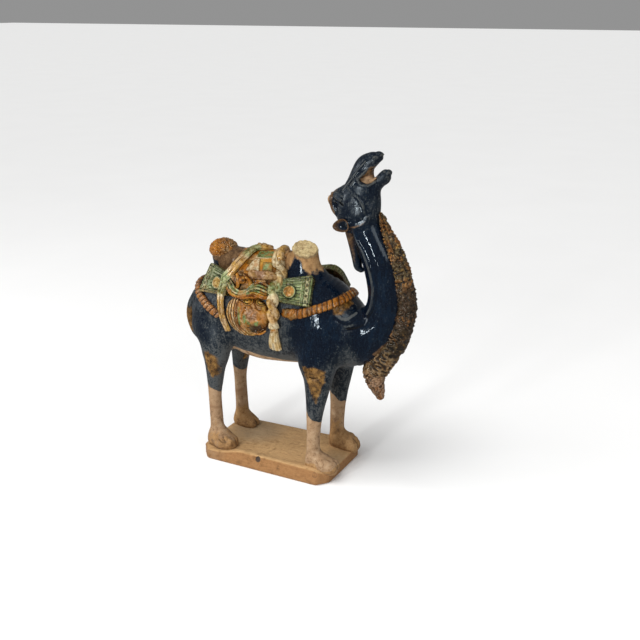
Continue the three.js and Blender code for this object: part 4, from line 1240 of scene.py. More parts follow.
# An egg over the rear hump, its upper part raised by woolly curls that fade out down its sides
def buildKnob():
    way = ballWays(150, 280, 0.01)
    ahead, aside, up = (way[..., axis] for axis in range(3))
    place = way * 27
    curls = curlsOn(place + cloud(place, 8, 21)[..., None] * 3, knob["curl"], 0.6, 22)
    woolly = step(-0.55, -0.05, up + 0.25 * cloud(place, 9, 24))
    lift = woolly * (curls * knob["height"] + 0.6) - 2.0
    rings = np.array(knob["middle"]) + way * (np.array(knob["radii"]) + lift[..., None])
    blots = blotsOn(place)
    tint = tintOf(up.shape, "buff", ("amber", step(0.45, -0.35, ahead + aside * 0.4)),
                  ("gold", blots(9, 26, 0.1, 0.7) * step(0.1, -0.7, ahead + aside * 0.3)),
                  ("amber", blots(7, 27, 0.0, 0.6) * 0.6), ("rust", blots(6, 28, 0.2, 0.6) * 0.6),
                  ("umber", step(-0.2, 0.7, ahead + 0.5 * cloud(place, 8, 30)) * 0.25),
                  ("pink", step(-0.05, -0.5, up + 0.3 * cloud(place, 8, 29)) * 0.7))
    # Painted shade between the curls
    return tubeSkin(rings, tint=tint, pool=np.clip(woolly * (0.75 - curls * 2.0), 0, 0.85))


makePiece("rearKnob", [buildKnob()], glazeOfGear)


# The broken top of the front hump: a disc out to where the clay ends, rough with chips
def buildBreak():
    normal = humps["normal"]
    first = unit(np.cross([0, 1.0, 0], normal))
    second = np.cross(normal, first)
    middle = np.array(humps["breakPoint"], float)
    turn = turnsOf(220)[0]
    way = np.cos(turn)[:, None] * first + np.sin(turn)[:, None] * second
    reach = np.linspace(4, 46, 106)
    field = sampled(bodyGrid, middle - normal * 4 + way[:, None] * reach[None, :, None])
    rim = smoothedRound(reach[np.where((field > 0).any(1), (field > 0).argmax(1), len(reach) - 1)], np.ones(13))
    share = np.concatenate([np.linspace(0.02, 1, 70), [1.02, 1.0, 0.9]])[:, None]
    sink = np.concatenate([np.zeros(68), [0.4, 1.4, 3.6, 6, 9]])[:, None]
    ring = rim[None, :] * share
    flat = middle + way[None] * ring[..., None]
    rough = cloud(flat, 9, 31) * 1.1 + cloud(flat, 4, 32) * 0.8 + cloud(flat, 1.8, 33) * 0.45
    crumbs = knobs(flat, 5.5, 34) ** 2
    collar = hill(share - 0.9, 0.16)
    height = rough * (0.7 + 0.5 * collar) + crumbs * 1.3 + collar * 0.9
    height = 0.8 + height * step(1.03, 0.97, share) - sink
    edge = 1 + 0.05 * cloud(flat, 7, 35)[..., None] * step(0.6, 1.0, share)[..., None]
    rings = middle + way[None] * (ring[..., None] * edge) + normal * height[..., None]
    # Painted shade in the low places and round the rim
    pool = np.clip(0.45 - rough * 0.35 - crumbs * 0.3 + 0.4 * step(0.97, 1.02, share), 0, 1)
    return tubeSkin(rings, pool=pool)


makePiece("humpBreak", [buildBreak()], clayOfBreak)


# Saddle load: a cloth shell over the pack between the humps, in patches of colour

loadCloth = {
    "x": (-80, 22), "turn": 62, "spacing": 1.0, "perDegree": 1.6,
    # a green strip, an amber patch, a green square and a cream side, in x and degrees
    "patches": [[(-38, 6), (-2, 3), (2, 13), (-14, 16), (-36, 17)], [(-30, 18), (8, 13), (10, 31), (-22, 31)],
                [(-17, 21.5), (-1, 20.5), (2, 28), (-13, 29)],
                [(-37, 19), (-27, 18), (-20, 31), (-30, 34), (-48, 35), (-44, 27)]],
}


# The cloth is a grid of x and degrees, lifted off the load by soft folds and by its patches' hems
def buildLoadCloth(side):
    x0, x1 = loadCloth["x"]
    x = np.linspace(x0, x1, int((x1 - x0) / loadCloth["spacing"]))[:, None]
    turn = np.linspace(-2, loadCloth["turn"], 130)[None, :]
    x, turn = np.broadcast_arrays(x, turn)
    u, v = x, turn * loadCloth["perDegree"]
    gaps = [inPatch(u, v, [(a, b * loadCloth["perDegree"]) for a, b in corners])
            for corners in loadCloth["patches"]]
    strip, patch, square, cream = gaps
    blots = blotsOn(placed(u, v, 0.0))
    folds = np.sin((u * 0.5 + v * 0.35 + flatCloud(u, v, 18, 41) * 4) * 0.55) * 0.9 * step(60, 75, v)
    hems = sum(hill(np.abs(gap - 0.4), 1.5) * 0.8 for gap in gaps)
    lift = 2.0 + step(-0.5, 1.5, cream) * 1.2 + step(-0.5, 1, square) * 0.8 + folds + hems
    lift = lift + flatCloud(u, v, 7, 42) * 0.35
    rim = np.minimum.reduce([x - x0, x1 - x, loadCloth["turn"] - turn])
    lift = lift * step(0, 5, rim) - 2.5 * step(5, 0, rim)
    tint = tintOf(x.shape, "buff", ("amber", blots(14, 43, -0.3, 0.5)), ("brown", blots(9, 44, 0.1, 0.7) * 0.7),
                  ("darkGreen", blots(12, 45, 0.3, 0.6) * 0.6), ("amber", step(-0.5, 0.5, patch)),
                  ("gold", step(0, 1.5, patch) * (0.3 + 0.7 * blots(6, 46, 0.1, 0.6))),
                  ("cream", step(-0.5, 0.5, cream) * 0.9),
                  ("amber", step(0.5, 1.5, cream) * blots(10, 47, 0.2, 0.6) * 0.8),
                  ("green", step(-0.5, 0.5, strip)),
                  ("cream", hill(np.abs(strip - 0.2), 1.3) * step(12, 16, turn) * 0.9),
                  ("green", step(-0.5, 0.5, square)), ("paleGreen", step(1.5, 2.5, square) * 0.5))
    # Painted shade in the folds' troughs and beside the raised hems
    pool = 0.15 - folds * 0.4 + 0.5 * hill(np.abs(square + 0.8), 0.9) + 0.4 * hill(np.abs(cream + 0.9), 1)
    top, low = (onBody(x, turn, height, side)[0] for height in (lift, -3))
    return sheetSkin(top, low, tint=tint, pool=np.clip(pool, 0, 1))


makePiece("loadCloth", [buildLoadCloth(1), buildLoadCloth(-1)], glazeOfGear)


# Pack boards. Corners are given at the load and at the free end, high and low: x, |y| and z.

boards = {
    "thickness": 12.5, "round": 1.6, "groove": 1.3, "spacing": 0.65, "slats": 8.5, "inside": "brown",
    # distances from the free end: the cross line, two thin lines, the ringed dots and the squares
    "crossAt": 18.5, "linesAt": (3.4, 12.6), "dotsAt": 8.0, "squaresAt": 15.4, "dots": 5,
    # the boss's place as a share of length and width, its radius, and where its rings stand
    "bossAt": (0.375, 0.56), "boss": 9.4, "collar": 10.6, "moat": 12.9, "arc": 14.5,
    "frontNear": [(14, 36, 362), (24, 57, 330), (80, 24, 376), (88, 56, 328)],
    "frontFar": [(14, 36, 362), (24, 57, 330), (97, 29, 382), (105, 61, 334)],
    "rear": [(-84, 39, 364), (-78, 56, 327), (-130, 20, 374), (-145, 43, 323)],
}


# Places along an edge of a board with the way down its rounded side added at both ends
def boardEdge(length, count):
    bend, deep = boards["round"], boards["thickness"]
    angle = np.linspace(0, math.pi / 2, 5)[1:]
    inner = np.linspace(bend, length - bend, count)
    down = np.concatenate([bend * (1 - np.cos(angle)), np.linspace(0.3, 1, 5) * deep])
    place = np.concatenate([bend * np.sin(angle), [bend] * 5])
    at = np.concatenate([(bend - place)[::-1], inner, length - bend + place])
    return at / length, np.concatenate([down[::-1], np.zeros(count), down])


# A board's grid between its four corners, the high one at its free end rounded off: places along
# and across it, points on its lower side, the way off it and the way down its rounded sides
def boardGrid(name, side, corner):
    high0, low0, high1, low1 = (np.array([x, -y * side, z], float) for x, y, z in boards[name])
    length = np.linalg.norm((high1 + low1 - high0 - low0) / 2)
    width = np.linalg.norm((high1 + high0 - low0 - low1) / 2)
    f, dropF = boardEdge(length, int(length / boards["spacing"]))
    g, dropG = boardEdge(width, int(width / boards["spacing"]))
    s, t = np.broadcast_arrays((f * length)[:, None], (g * width)[None, :])
    a, b = np.clip((s - length + corner) / corner, 0, None), np.clip((corner - t) / corner, 0, None)
    rounded = (a > 0) & (b > 0)
    far = length - corner + corner * a * np.sqrt(np.clip(1 - b**2 / 2, 0, 1))
    down = corner - corner * b * np.sqrt(np.clip(1 - a**2 / 2, 0, 1))
    f, g = np.where(rounded, far, s)[..., None] / length, np.where(rounded, down, t)[..., None] / width
    flat = (high0 * (1 - g) + low0 * g) * (1 - f) + (high1 * (1 - g) + low1 * g) * f
    out = unit(np.cross(high1 - high0, low0 - high0))
    return length, width, s, t, flat, out if out[2] > 0 else -out, np.maximum(dropF[:, None], dropG[None, :])


# Grooves between slats run towards a cross line, past which there is a row of small squares and a
# row of ringed dots; a round boss stands near the load
def buildBoard(name, side, seed, corner):
    length, width, s, t, flat, out, drop = boardGrid(name, side, corner)
    fromTip = length - s
    slats = np.abs((t / width * boards["slats"] + 0.25) % 1 - 0.5) * width / boards["slats"]
    inSlats = step(boards["crossAt"], boards["crossAt"] + 1.5, fromTip)
    grooves = hill(slats, 0.95) * inSlats
    ridges = hill(slats - width / (2 * boards["slats"]) * 0.55, 0.8) * inSlats
    cross = hill(fromTip - boards["crossAt"], 1.1)
    border = np.maximum(hill(t - 4.0, 1.0), hill(width - t - 4.0, 1.0))
    lines = np.maximum(*(hill(fromTip - at, wide) for at, wide in zip(boards["linesAt"], (0.9, 0.7))))
    pitch = (width - 5) / boards["dots"]
    dotAt = (t - 2.5) % pitch - 0.5 * pitch
    dot = np.hypot(dotAt, fromTip - boards["dotsAt"])
    ring, pit = hill(dot - 3.5, 1.4), step(2.7, 1.8, dot)
    small = np.abs(np.maximum(np.abs(dotAt) - 2.3, np.abs(fromTip - boards["squaresAt"]) - 1.4))
    bossGap = np.hypot(s - boards["bossAt"][0] * length, t - boards["bossAt"][1] * width)
    boss, collar = hill(bossGap, boards["boss"]), hill(bossGap - boards["collar"], 1.9)
    onBoss = step(10.6, 9.6, bossGap)
    arcs = hill(bossGap - boards["arc"], 1.2) * inSlats
    clear = step(12, 14, bossGap)
    relief = boss * 3.4 + collar * 1.6 + cross * 0.6 + ring * 0.9 + step(0.4, -0.2, small - 0.5) * 0.6
    relief = relief - grooves * boards["groove"] * clear - border * 0.9 - lines * 0.7 - pit * 1.2 - arcs * 1.0
    worn = cloud(flat, 9, seed) * 0.35 + cloud(flat, 3, seed + 1) * 0.2
    points = flat + out * (boards["thickness"] - drop + (relief + worn) * (drop < 0.1))[..., None]
    blots = blotsOn(flat, seed)
    layers = [("paleGreen", blots(8, 2, 0.1, 0.9) * 0.15),
              ("darkGreen", 0.25 + step(0.0, 0.6, cloud(flat * 0.6, 5, seed + 3)) * 0.45),
              ("amber", blots(11, 4, 0.5, 0.8) * 0.35), ("paleGreen", ridges * clear * 0.25),
              ("darkGreen", np.clip(grooves * clear * 0.8 + border + lines + arcs * 0.8, 0, 1) * 0.92),
              ("cream", cross * blots(6, 6, 0.3, -0.3) * 0.6), ("cream", np.clip(ring * 1.2, 0, 1) * 0.6),
              ("ink", pit), ("darkGreen", step(0.9, 0.2, small) * 0.8),
              ("paleGreen", np.clip(collar * 1.3, 0, 1) * 0.6), ("orange", onBoss),
              ("gold", boss * blots(5, 5, 0.3, 0.8) * 0.4), ("rust", step(4.0, 1.0, bossGap) * 0.5)]
    if name == "rear":
        low = step(0.7, 0.95, t / width + 0.2 * cloud(flat, 9, seed + 7))
        layers += [("darkGreen", 0.35), ("amber", low * 0.6), ("gold", onBoss * 0.8)]
    layers += [("darkGreen", step(0.9, 2.5, drop) * 0.9), ("paleGreen", hill(drop - 0.5, 0.7) * 0.35),
               ("olive", step(2.0, 4.0, drop) * 0.6),
               ("paleGreen", step(3, 5, drop) * step(9, 8, drop) * step(0.3, 0.6, np.sin((s + t) * 0.9)) * 0.5)]
    # Painted shade in the grooves, the border, the lines and the moat round the boss
    pool = grooves * clear * 0.6 + border * 0.7 + 0.8 * hill(bossGap - boards["moat"], 1.1) + lines * 0.6
    skin = sheetSkin(points, flat - out * 0.3, tint=tintOf(s.shape, "green", *layers), pool=np.clip(pool, 0, 1))
    skin["paint"]["tint"][len(skin["points"]) // 2:] = palette[boards["inside"]]
    return skin


for name, key, side, seed, corner in (("boardFrontNear", "frontNear", 1, 60, 5),
                                      ("boardFrontFar", "frontFar", -1, 70, 24),
                                      ("boardRearNear", "rear", 1, 80, 5), ("boardRearFar", "rear", -1, 90, 5)):
    makePiece(name, [buildBoard(key, side, seed, corner)], glazeOfBoards)


# Frills: pleated edging of the saddle cloth round each hump. Rows are x, degrees, lift, half
# width and half thickness.

frills = {
    "front": [(137, 0, 1.5, 8, 4.5), (133, 29, 1.5, 8, 4.5), (121, 47, 1.5, 8, 4.5),
              (107, 58, 1.5, 8, 4.5), (90, 66, 1.5, 8, 4.5), (72, 73, 1.5, 8.5, 4.5), (58, 77, 1, 8.5, 4)],
    "rear": [(-170, 0, 1.5, 7.5, 4.5), (-166, 38, 1.5, 7.5, 4.5), (-152, 66, 1.5, 8, 4.5),
             (-134, 81, 1.5, 8, 4.5), (-115, 92, 1.5, 8, 4.5), (-97, 100, 1, 8, 4)],
    "pleat": 9.6, "depth": 2.6, "spacing": 0.7,
}


# The section is half an oval with a beaded upper edge; pleats swell along it and lean a little
def buildFrill(rows, seed, faded=0.0):
    across = [(x, -turn) + tuple(rest) for x, turn, *rest in rows[:0:-1]] + list(rows)
    run = runOnBody(across, 1, frills["spacing"])
    s, turn = run["s"], turnsOf(44)
    wide, up = np.cos(turn), np.sin(turn)
    lean = s + wide * 2.2 + flatCloud(s, 0 * s, 24, seed) * 3.5
    pleats = np.abs(np.sin(lean * math.pi / frills["pleat"])) ** 0.6
    lift = run["thick"] * up + np.where(up > 0, (pleats - 0.6) * frills["depth"], 0)
    lift = lift + hill(np.abs(wide) - 0.78, 0.16) * (up > 0) * 0.7
    rings = carry(run, run["half"] * (1 + 0.05 * (pleats - 0.5)) * wide, lift, 6.0)
    blots = blotsOn(placed(s, wide * 8, up * 4), seed)
    # A painted highlight in cream along the pleats' crests
    crestHighlight = hill(np.abs(wide + 0.1), 0.35) * (up > 0) * step(0.7, 1.0, pleats)
    tint = tintOf(rings.shape[:2], "amber", ("rust", 0.25 + blots(13, 1, -0.5, 0.4) * 0.75),
                  ("gold", blots(8, 2, 0.2, 0.8) * 0.5 * pleats),
                  ("cream", crestHighlight * blots(10, 3, 0.0, 0.6) * 0.6), ("pink", faded),
                  ("umber", blots(12, 4, 0.5, 0.8) * 0.5),
                  ("umber", step(0.80, 0.95, np.abs(wide)) * 0.6))
    # Painted shade between the pleats
    return tubeSkin(rings, tint=tint, pool=np.clip((0.62 - pleats) * 2.4 + 0.1, 0, 1))


makePiece("frillFront", [buildFrill(frills["front"], 100)], glazeOfGear)
makePiece("frillRear", [buildFrill(frills["rear"], 110, 0.45)], glazeOfGear)


# Hanging lobe of the frill below each front board, in a few heavy pleats
def buildLobe(side):
    r = np.concatenate([np.linspace(0.02, 1, 60), [0.97, 0.8]])[:, None]
    turn = turnsOf(150)
    wavy = 1 + 0.07 * np.sin(5 * turn + 1) + 0.04 * np.sin(9 * turn)
    x = 50 + 19 * r * wavy * np.cos(turn)
    degrees = 77 + 9.5 * r * wavy * np.sin(turn)
    fold = np.abs(np.sin((x * 0.9 + degrees * 0.25) * math.pi / 8.5)) ** 0.7
    lift = 6.0 * np.sqrt(np.clip(1 - r**2.6, 0, 1)) + (fold - 0.5) * 1.6 * step(1.0, 0.85, r)
    lift = np.where(np.arange(len(r))[:, None] > len(r) - 3, -3, lift)
    rings, _ = onBody(x, degrees, lift, side)
    blots = blotsOn(placed(x, degrees, 0.0))
    tint = tintOf(x.shape, "rust", ("amber", blots(9, 120, -0.4, 0.4) * 0.7),
                  ("olive", blots(7, 121, 0.1, 0.7) * 0.6),
                  ("umber", step(0.72, 0.98, r + 0.25 * flatCloud(x, degrees, 6, 122))))
    # Painted shade in the folds
    return tubeSkin(rings, tint=tint, pool=np.clip((0.45 - fold) * 1.6, 0, 1))


makePiece("frillLobes", [buildLobe(1), buildLobe(-1)], glazeOfGear)


# Skeins that tie the load. Rows are x, degrees, lift, half width and half thickness.

skeins = {
    "plain": [(-26, -6, 4, 8.5, 5), (-36, 0, 6, 8.5, 5), (-49, 6, 7, 8.5, 5), (-57, 19, 7, 8.5, 5),
              (-70, 30, 9, 8.5, 5), (-83, 41, 13, 8.5, 5), (-92, 54, 10, 7.5, 5), (-93, 72, 7, 6.5, 5),
              (-90, 90, 6, 6, 5), (-85, 106, 5, 6, 5), (-79, 122, 3, 6, 4)],
    "twist": [(4, -3, 5, 10, 9), (9, 12, 7, 10, 9), (12, 24, 9, 10, 9), (13, 44, 11, 10, 9),
              (18, 62, 12, 10, 9), (21, 80, 10, 10, 9), (21, 103, 6, 8.5, 7)],
    "tassel": [(21, 99, 6, 6.5, 6), (20.5, 109, 5, 7.5, 6), (19, 121, 5, 10.5, 6), (18, 130, 4, 12, 5.5),
               (17, 137, 3, 11.5, 4.5)],
    "turns": 2.6, "spacing": 0.8,
    # green bands, then amber ones, in mm from the top of each strand
    "plainBands": ([(24, 58), (104, 150)], [(0, 24), (62, 100), (156, 240)]),
    "twistBands": [([(90, 112)], [(0, 22), (134, 160)]), ([(90, 112)], [(0, 46), (122, 160)])],
}


# Tints for a rope: bands of cream, gold, amber and green that follow its length and wander
def ropeTint(place, s, seed, greens, ambers):
    s = s + cloud(place, 9, seed + 1) * 5
    blots = blotsOn(place, seed)
    layers = [("gold", blots(14, 0, 0.0, 0.7) * 0.55)]
    for low, high in ambers:
        band = step(low - 4, low + 3, s) * step(high + 4, high - 3, s)
        layers += [("amber", band * 0.42), ("gold", band * blots(7, 3, -0.4, 0.4) * 0.8)]
    for low, high in greens:
        layers += [("paleGreen", step(low - 4, low + 3, s) * step(high + 4, high - 3, s)),
                   ("green", step(low, low + 4, s) * step(high, high - 4, s) * blots(6, 2, -0.2, 0.6))]
    return tintOf(place.shape[:-1], "cream", *layers)


# One strand: a circle of its own radius whose middle stands off the run, or goes round it
def strand(run, angle, reach, radius, shade, seed, bands):
    s, turn = run["s"], turnsOf(36)
    seam = placed(s, 5 * np.cos(turn), 5 * np.sin(turn) + 9)
    plies = 0.30 * np.sin(turn * 6 + s * 0.12) + cloud(seam, 6, seed + 5) * 0.35
    across = reach[0] * np.cos(angle) + (radius + plies) * np.cos(turn)
    off = reach[1] * np.sin(angle) + (radius + plies) * np.sin(turn) * 0.96
    inwards = np.cos(turn - angle - math.pi)
    # Painted shade where the strand faces its neighbour, and in the grooves between the plies
    pool = np.clip(step(0.4, 0.95, inwards) * shade + 0.25 * step(0.0, -0.3, plies), 0, 1)
    return tubeSkin(carry(run, across, off, 4.0), tint=ropeTint(seam, s, seed, *bands), pool=pool)


# Two strands side by side; the far skeins leave out the first row, which lies past the ridge
def buildPlainSkein(side, seed):
    run = runOnBody(skeins["plain"][side < 0:], side, skeins["spacing"])
    scale = run["half"] / 8.5
    return [strand(run, k * math.pi, (4.1 * scale, 0), 4.7 * scale, 0.45, seed + 9 * k, skeins["plainBands"])
            for k in (0, 1)]


# Two strands round each other, the twist starting a little way down
def buildTwistedSkein(side, seed):
    run = runOnBody(skeins["twist"][side < 0:], side, skeins["spacing"])
    share = run["s"] / run["s"][-1]
    phase = np.cumsum(step(0.15, 0.38, share), axis=0)
    phase = phase / phase[-1] * skeins["turns"] * 2 * math.pi
    shrink = 1 - 0.3 * step(0.8, 1.0, share)
    return [strand(run, phase * side + k * math.pi, (4.6 * shrink, 3.6 * shrink), 7.0, 0.7, seed + 9 * k,
                   skeins["twistBands"][k]) for k in (0, 1)]


# The tassel is a flat brush that widens to its end, with fine grooves along it
def buildTassel(side, seed):
    run = runOnBody(skeins["tassel"], side, 0.6)
    s, turn = run["s"], turnsOf(72)
    hairs = np.sin(turn * 11 + flatCloud(s, turn * 6, 12, seed) * 1.2) * 0.28 * step(0, 10, s)
    across = (run["half"] + hairs) * np.sign(np.cos(turn)) * np.abs(np.cos(turn)) ** 0.85
    off = (run["thick"] + hairs) * np.sin(turn)
    place = placed(s, across, off)
    tint = tintOf(across.shape, "cream", ("gold", step(-0.3, 0.6, cloud(place * [0.4, 1, 1], 5, seed)) * 0.6),
                  ("amber", step(12, 4, s + cloud(place, 6, seed + 1) * 4)))
    # Painted shade in the grooves between the hairs
    return tubeSkin(carry(run, across, off, 5.0), tint=tint, pool=np.clip(0.1 - hairs * 1.2, 0, 1))


makePiece("plainSkeins", buildPlainSkein(1, 200) + buildPlainSkein(-1, 230), glazeOfRopes)
makePiece("twistedSkeins", buildTwistedSkein(1, 260) + buildTwistedSkein(-1, 290), glazeOfRopes)
makePiece("tassels", [buildTassel(1, 320), buildTassel(-1, 330)], glazeOfRopes)


# Pack bags: a full bag on each flank, the near one modelled as the face of a beast

bag = {
    "x": -36, "turn": 89, "halfLength": 46, "halfTurn": 33, "height": 15, "power": 2.5, "perDegree": 1.22,
    # mounds of the muzzle, nose, nostrils and cheeks: middle, half sizes and height
    "mounds": [((-13, 94), 25, 23, 5.0), ((-15, 84), 9, 6.5, 3.6), ((-22, 87), 4.5, 4, 1.6),
               ((-7, 86), 4.5, 4, 1.6), ((-29, 98), 9, 10, 1.8), ((0, 96), 9, 10, 1.8)],
    # washes of colour: middle, half sizes and strength
    "washes": [("pink", (-18, 86), 13, 13, 1.2), ("olive", (-12, 107), 26, 15, 1.1),
               ("umber", (-2, 106), 24, 16, 1.3), ("rust", (-36, 74), 16, 12, 0.8),
               ("pink", (-15, 84), 8, 6, 0.7)],
    "muzzleEdge": [(-34, 77), (-39, 86), (-38, 97), (-33, 106), (-23, 112), (-8, 114), (5, 109), (12, 99)],
    "lip": [(-26, 103), (-18, 107), (-6, 108), (3, 103)], "eyes": [(-31, 66), (-7, 64)],
    "stripe": [(-47, 79), (-46, 90), (-44, 102)],
    "splashes": [((-33, 90), 6), ((-29, 95), 7), ((-23, 97), 4), ((-9, 97), 5), ((-5, 94), 3)],
    # lines drawn in the clay round the eyes, across the cheek and down the side, with their colour
    "marks": [([(-50, 67), (-38, 70), (-26, 73), (-19, 77)], "rust"),
              ([(-19, 62), (-17, 70), (-12, 76), (-4, 78)], "rust"),
              ([(-52, 72), (-52, 86), (-50, 98), (-44, 108)], "rust"),
              ([(-40, 62), (-31, 59), (-22, 62), (-20, 68)], "rust"),
              ([(0, 58), (6, 66), (4, 76)], "rust"), ([(-14, 57), (-4, 54), (6, 58)], "rust")],
    "farFolds": [[(-20, 62), (-14, 90), (-20, 116)], [(0, 66), (4, 90), (-2, 112)],
                 [(-38, 62), (-36, 90), (-38, 118)]],
    "folds": [[(-75, 68), (-74, 90), (-70, 104), (-59, 115)], [(-68, 66), (-67, 90), (-62, 106), (-49, 118)],
              [(-61, 66), (-60, 90), (-54, 107), (-40, 119)], [(-54, 68), (-53, 92), (-48, 106), (-34, 117)]],
}


# The beast's face: mounds, lines and eyes added to a bag's height and grooves, and their colours
def drawFace(u, v, line, spot, lift, grooves):
    layers = []
    for points, colour in bag["marks"]:
        gap = line(points)
        grooves = grooves + hill(gap, 1.1) * 0.6
        lift = lift + hill(gap - 2.2, 1.6) * 0.9
        layers.append((colour, hill(gap, 3.2) * 0.9))
    for middle, across, down, height in bag["mounds"]:
        lift = lift + spot(middle, across, down) * height
    edge, lip = line(bag["muzzleEdge"]), line(bag["lip"])
    lift = lift + hill(edge - 2.8, 2.0) * 0.8
    grooves = grooves + hill(edge, 1.5) * 1.3 + hill(lip, 1.1)
    layers.append(("amber", spot(*bag["mounds"][0][:3]) * 0.75))
    layers += [(colour, spot(middle, across, down, 1.0) * share)
               for colour, middle, across, down, share in bag["washes"]]
    for middle in bag["eyes"]:
        gap = np.hypot(u - middle[0], (v - middle[1] * bag["perDegree"]) * 1.1)
        lift = lift + hill(gap, 6.2) * 4.6 + hill(gap - 8.6, 1.6) * 1.4
        grooves = grooves + hill(gap - 6.5, 1.0) * 0.5 + hill(gap - 10.6, 0.9) * 0.5 + step(1.8, 1.2, gap) * 0.8
        layers += [("rust", step(11.5, 9.5, gap) * 0.8), ("gold", step(9.6, 8.6, gap)),
                   ("olive", hill(gap - 6.6, 1.2)), ("umber", step(2.6, 1.8, gap) * 0.8)]
    layers.append(("green", step(2.4, 1.2, line(bag["stripe"]))))
    layers += [("green", spot(middle, size, size * 0.9, 1.0) * 1.1) for middle, size in bag["splashes"]]
    return lift, grooves, layers


# A dome over an oval of x and degrees, its height falling to the rim; folds and the face are drawn
# on it in millimetres, as mounds and as hills and grooves along lines
def buildBag(side, seed):
    r = np.concatenate([np.linspace(0.01, 0.97, 150), np.linspace(0.975, 1, 10), [0.98, 0.85]])[:, None]
    turn = turnsOf(330)
    x = bag["x"] + bag["halfLength"] * r * np.cos(turn)
    degrees = bag["turn"] + bag["halfTurn"] * r * np.sin(turn)
    u, v = x, degrees * bag["perDegree"]

    def line(points):
        return toLine(u, v, [(a, b * bag["perDegree"]) for a, b in points])[0]

    def spot(middle, across, down, power=0.5):
        return mound(u, v, (middle[0], middle[1] * bag["perDegree"]), (across, down), power)

    lift = bag["height"] * np.clip(1 - r**bag["power"], 0, 1) ** (1 / 1.8)
    grooves = 0 * u
    place = placed(u, v, 0.0)
    blots = blotsOn(place, seed)
    layers = [("amber", blots(16, 0, -0.2, 0.6) * 0.7), ("gold", blots(12, 1, -0.1, 0.5) * 0.8)]
    for points in bag["folds"]:
        gap = line(points)
        lift = lift + hill(gap, 3.0) * 1.5
        grooves = grooves + hill(gap - 3.6, 1.1) * 0.6
        layers.append(("cream", hill(gap, 2.2) * 0.45))
    if side > 0:
        lift, grooves, face = drawFace(u, v, line, spot, lift, grooves)
        layers += face
    else:
        for gap in map(line, bag["farFolds"]):
            lift = lift + hill(gap, 4.5) * 1.6
            grooves = grooves + hill(gap - 5.6, 1.0)
        layers.append(("green", blots(15, 3, 0.35, 0.7) * 0.7))
    tint = tintOf(u.shape, "buff", *layers, ("rust", step(0.9, 1.0, r) * 0.5))
    lift = lift - np.clip(grooves, 0, 1.3) * 1.3 + cloud(place, 5, seed + 4) * 0.2
    lift = np.where(np.arange(len(r))[:, None] > len(r) - 3, -3, lift * step(1.0, 0.96, r))
    rings, _ = onBody(x, degrees, lift, side, 5.0)
    # Painted shade in the drawn grooves
    return tubeSkin(rings, tint=tint, pool=np.clip(grooves * 0.85, 0, 1))


makePiece("packBagNear", [buildBag(1, 400)], glazeOfGear)
makePiece("packBagFar", [buildBag(-1, 420)], glazeOfGear)


# Rolls, ridges and knots about the bags: rows of x, degrees, lift, half width and half thickness,
# then the tint and its second tint
trims = {
    "roll": ([(-37, 33, 5, 5, 5), (-30, 34, 6, 7.5, 7.5), (-14, 35, 6, 8, 8), (0, 33, 6, 8, 8),
              (9, 30, 5, 6, 6)], "buff", "pink"),
    "brow": ([(-52, 64, 12, 2, 3), (-44, 62, 15, 2.4, 3.4), (-35, 59, 16, 2.6, 3.6), (-27, 57, 15, 2.4, 3.4),
              (-19, 57, 15, 2.4, 3.4), (-8, 54, 14, 2.6, 3.6), (3, 56, 12, 2.4, 3.4), (9, 61, 10, 2, 3)],
             "rust", "amber"),
    "chin": ([(-33, 77, 15, 2, 2.4), (-39, 86, 14, 2.3, 2.6), (-38, 97, 13, 2.4, 2.6), (-33, 106, 11, 2.4, 2.6),
              (-22, 112, 9, 2.4, 2.6), (-6, 113, 8, 2.2, 2.4), (6, 107, 8, 1.8, 2)], "amber", "cream"),
    "strap": ([(-63, 34, 5, 3.5, 3), (-59, 38, 6, 4, 3.5), (-56, 44, 6, 4, 3.5), (-58, 50, 6, 3, 3)],
              "amber", "gold"),
    "cord": ([(-44, 38, 5, 2.4, 2.6), (-36, 40, 6, 2.6, 3), (-30, 43, 6, 2.6, 3), (-33, 48, 6, 2.4, 2.6),
              (-40, 48, 6, 2.2, 2.4)], "gold", "rust"),
}


# The hair over the brow is a fan of thin ridges, each the first one's rows moved round the body
hair = {
    "rows": [(-80, 38, 5), (-71, 43, 8), (-61, 49, 9), (-48, 52, 10), (-36, 50, 11), (-23, 44, 11),
             (-10, 41, 10), (2, 43, 8), (9, 47, 6)],
    "pitch": 3.1, "half": 2.1, "thick": 3.0,
    "colours": [("paleGreen", "slate"), ("green", "darkGreen"), ("paleGreen", "cream"), ("darkGreen", "green"),
                ("gold", "green"), ("rust", "amber")],
}


def hairTrims():
    spread = [0.7 + 0.3 * math.sin(i * 1.1 + 0.4) for i in range(len(hair["rows"]))]
    return {"hair%d" % k: ([(x, turn + k * hair["pitch"] * part, lift + 0.7 * k, hair["half"], hair["thick"])
                            for (x, turn, lift), part in zip(hair["rows"], spread)], first, second)
            for k, (first, second) in enumerate(hair["colours"])}


trims.update(hairTrims())


def buildTrim(key, side, seed):
    rows, first, second = trims[key]
    run = runOnBody(rows, side, 0.7)
    turn = turnsOf(34)
    place = placed(run["s"], 6 * np.cos(turn), 6 * np.sin(turn))
    swell = 1 + 0.07 * cloud(place, 9, seed)
    rings = carry(run, run["half"] * swell * np.cos(turn), run["thick"] * swell * np.sin(turn), 4.0)
    blots = blotsOn(place, seed)
    tint = tintOf(rings.shape[:2], first, (second, blots(10, 1, -0.1, 0.6)),
                  ("amber", blots(13, 2, 0.3, 0.8) * 0.5))
    # Painted shade on the underside, facing the body
    return tubeSkin(rings, tint=tint, pool=step(0.45, -0.25, np.sin(turn)))


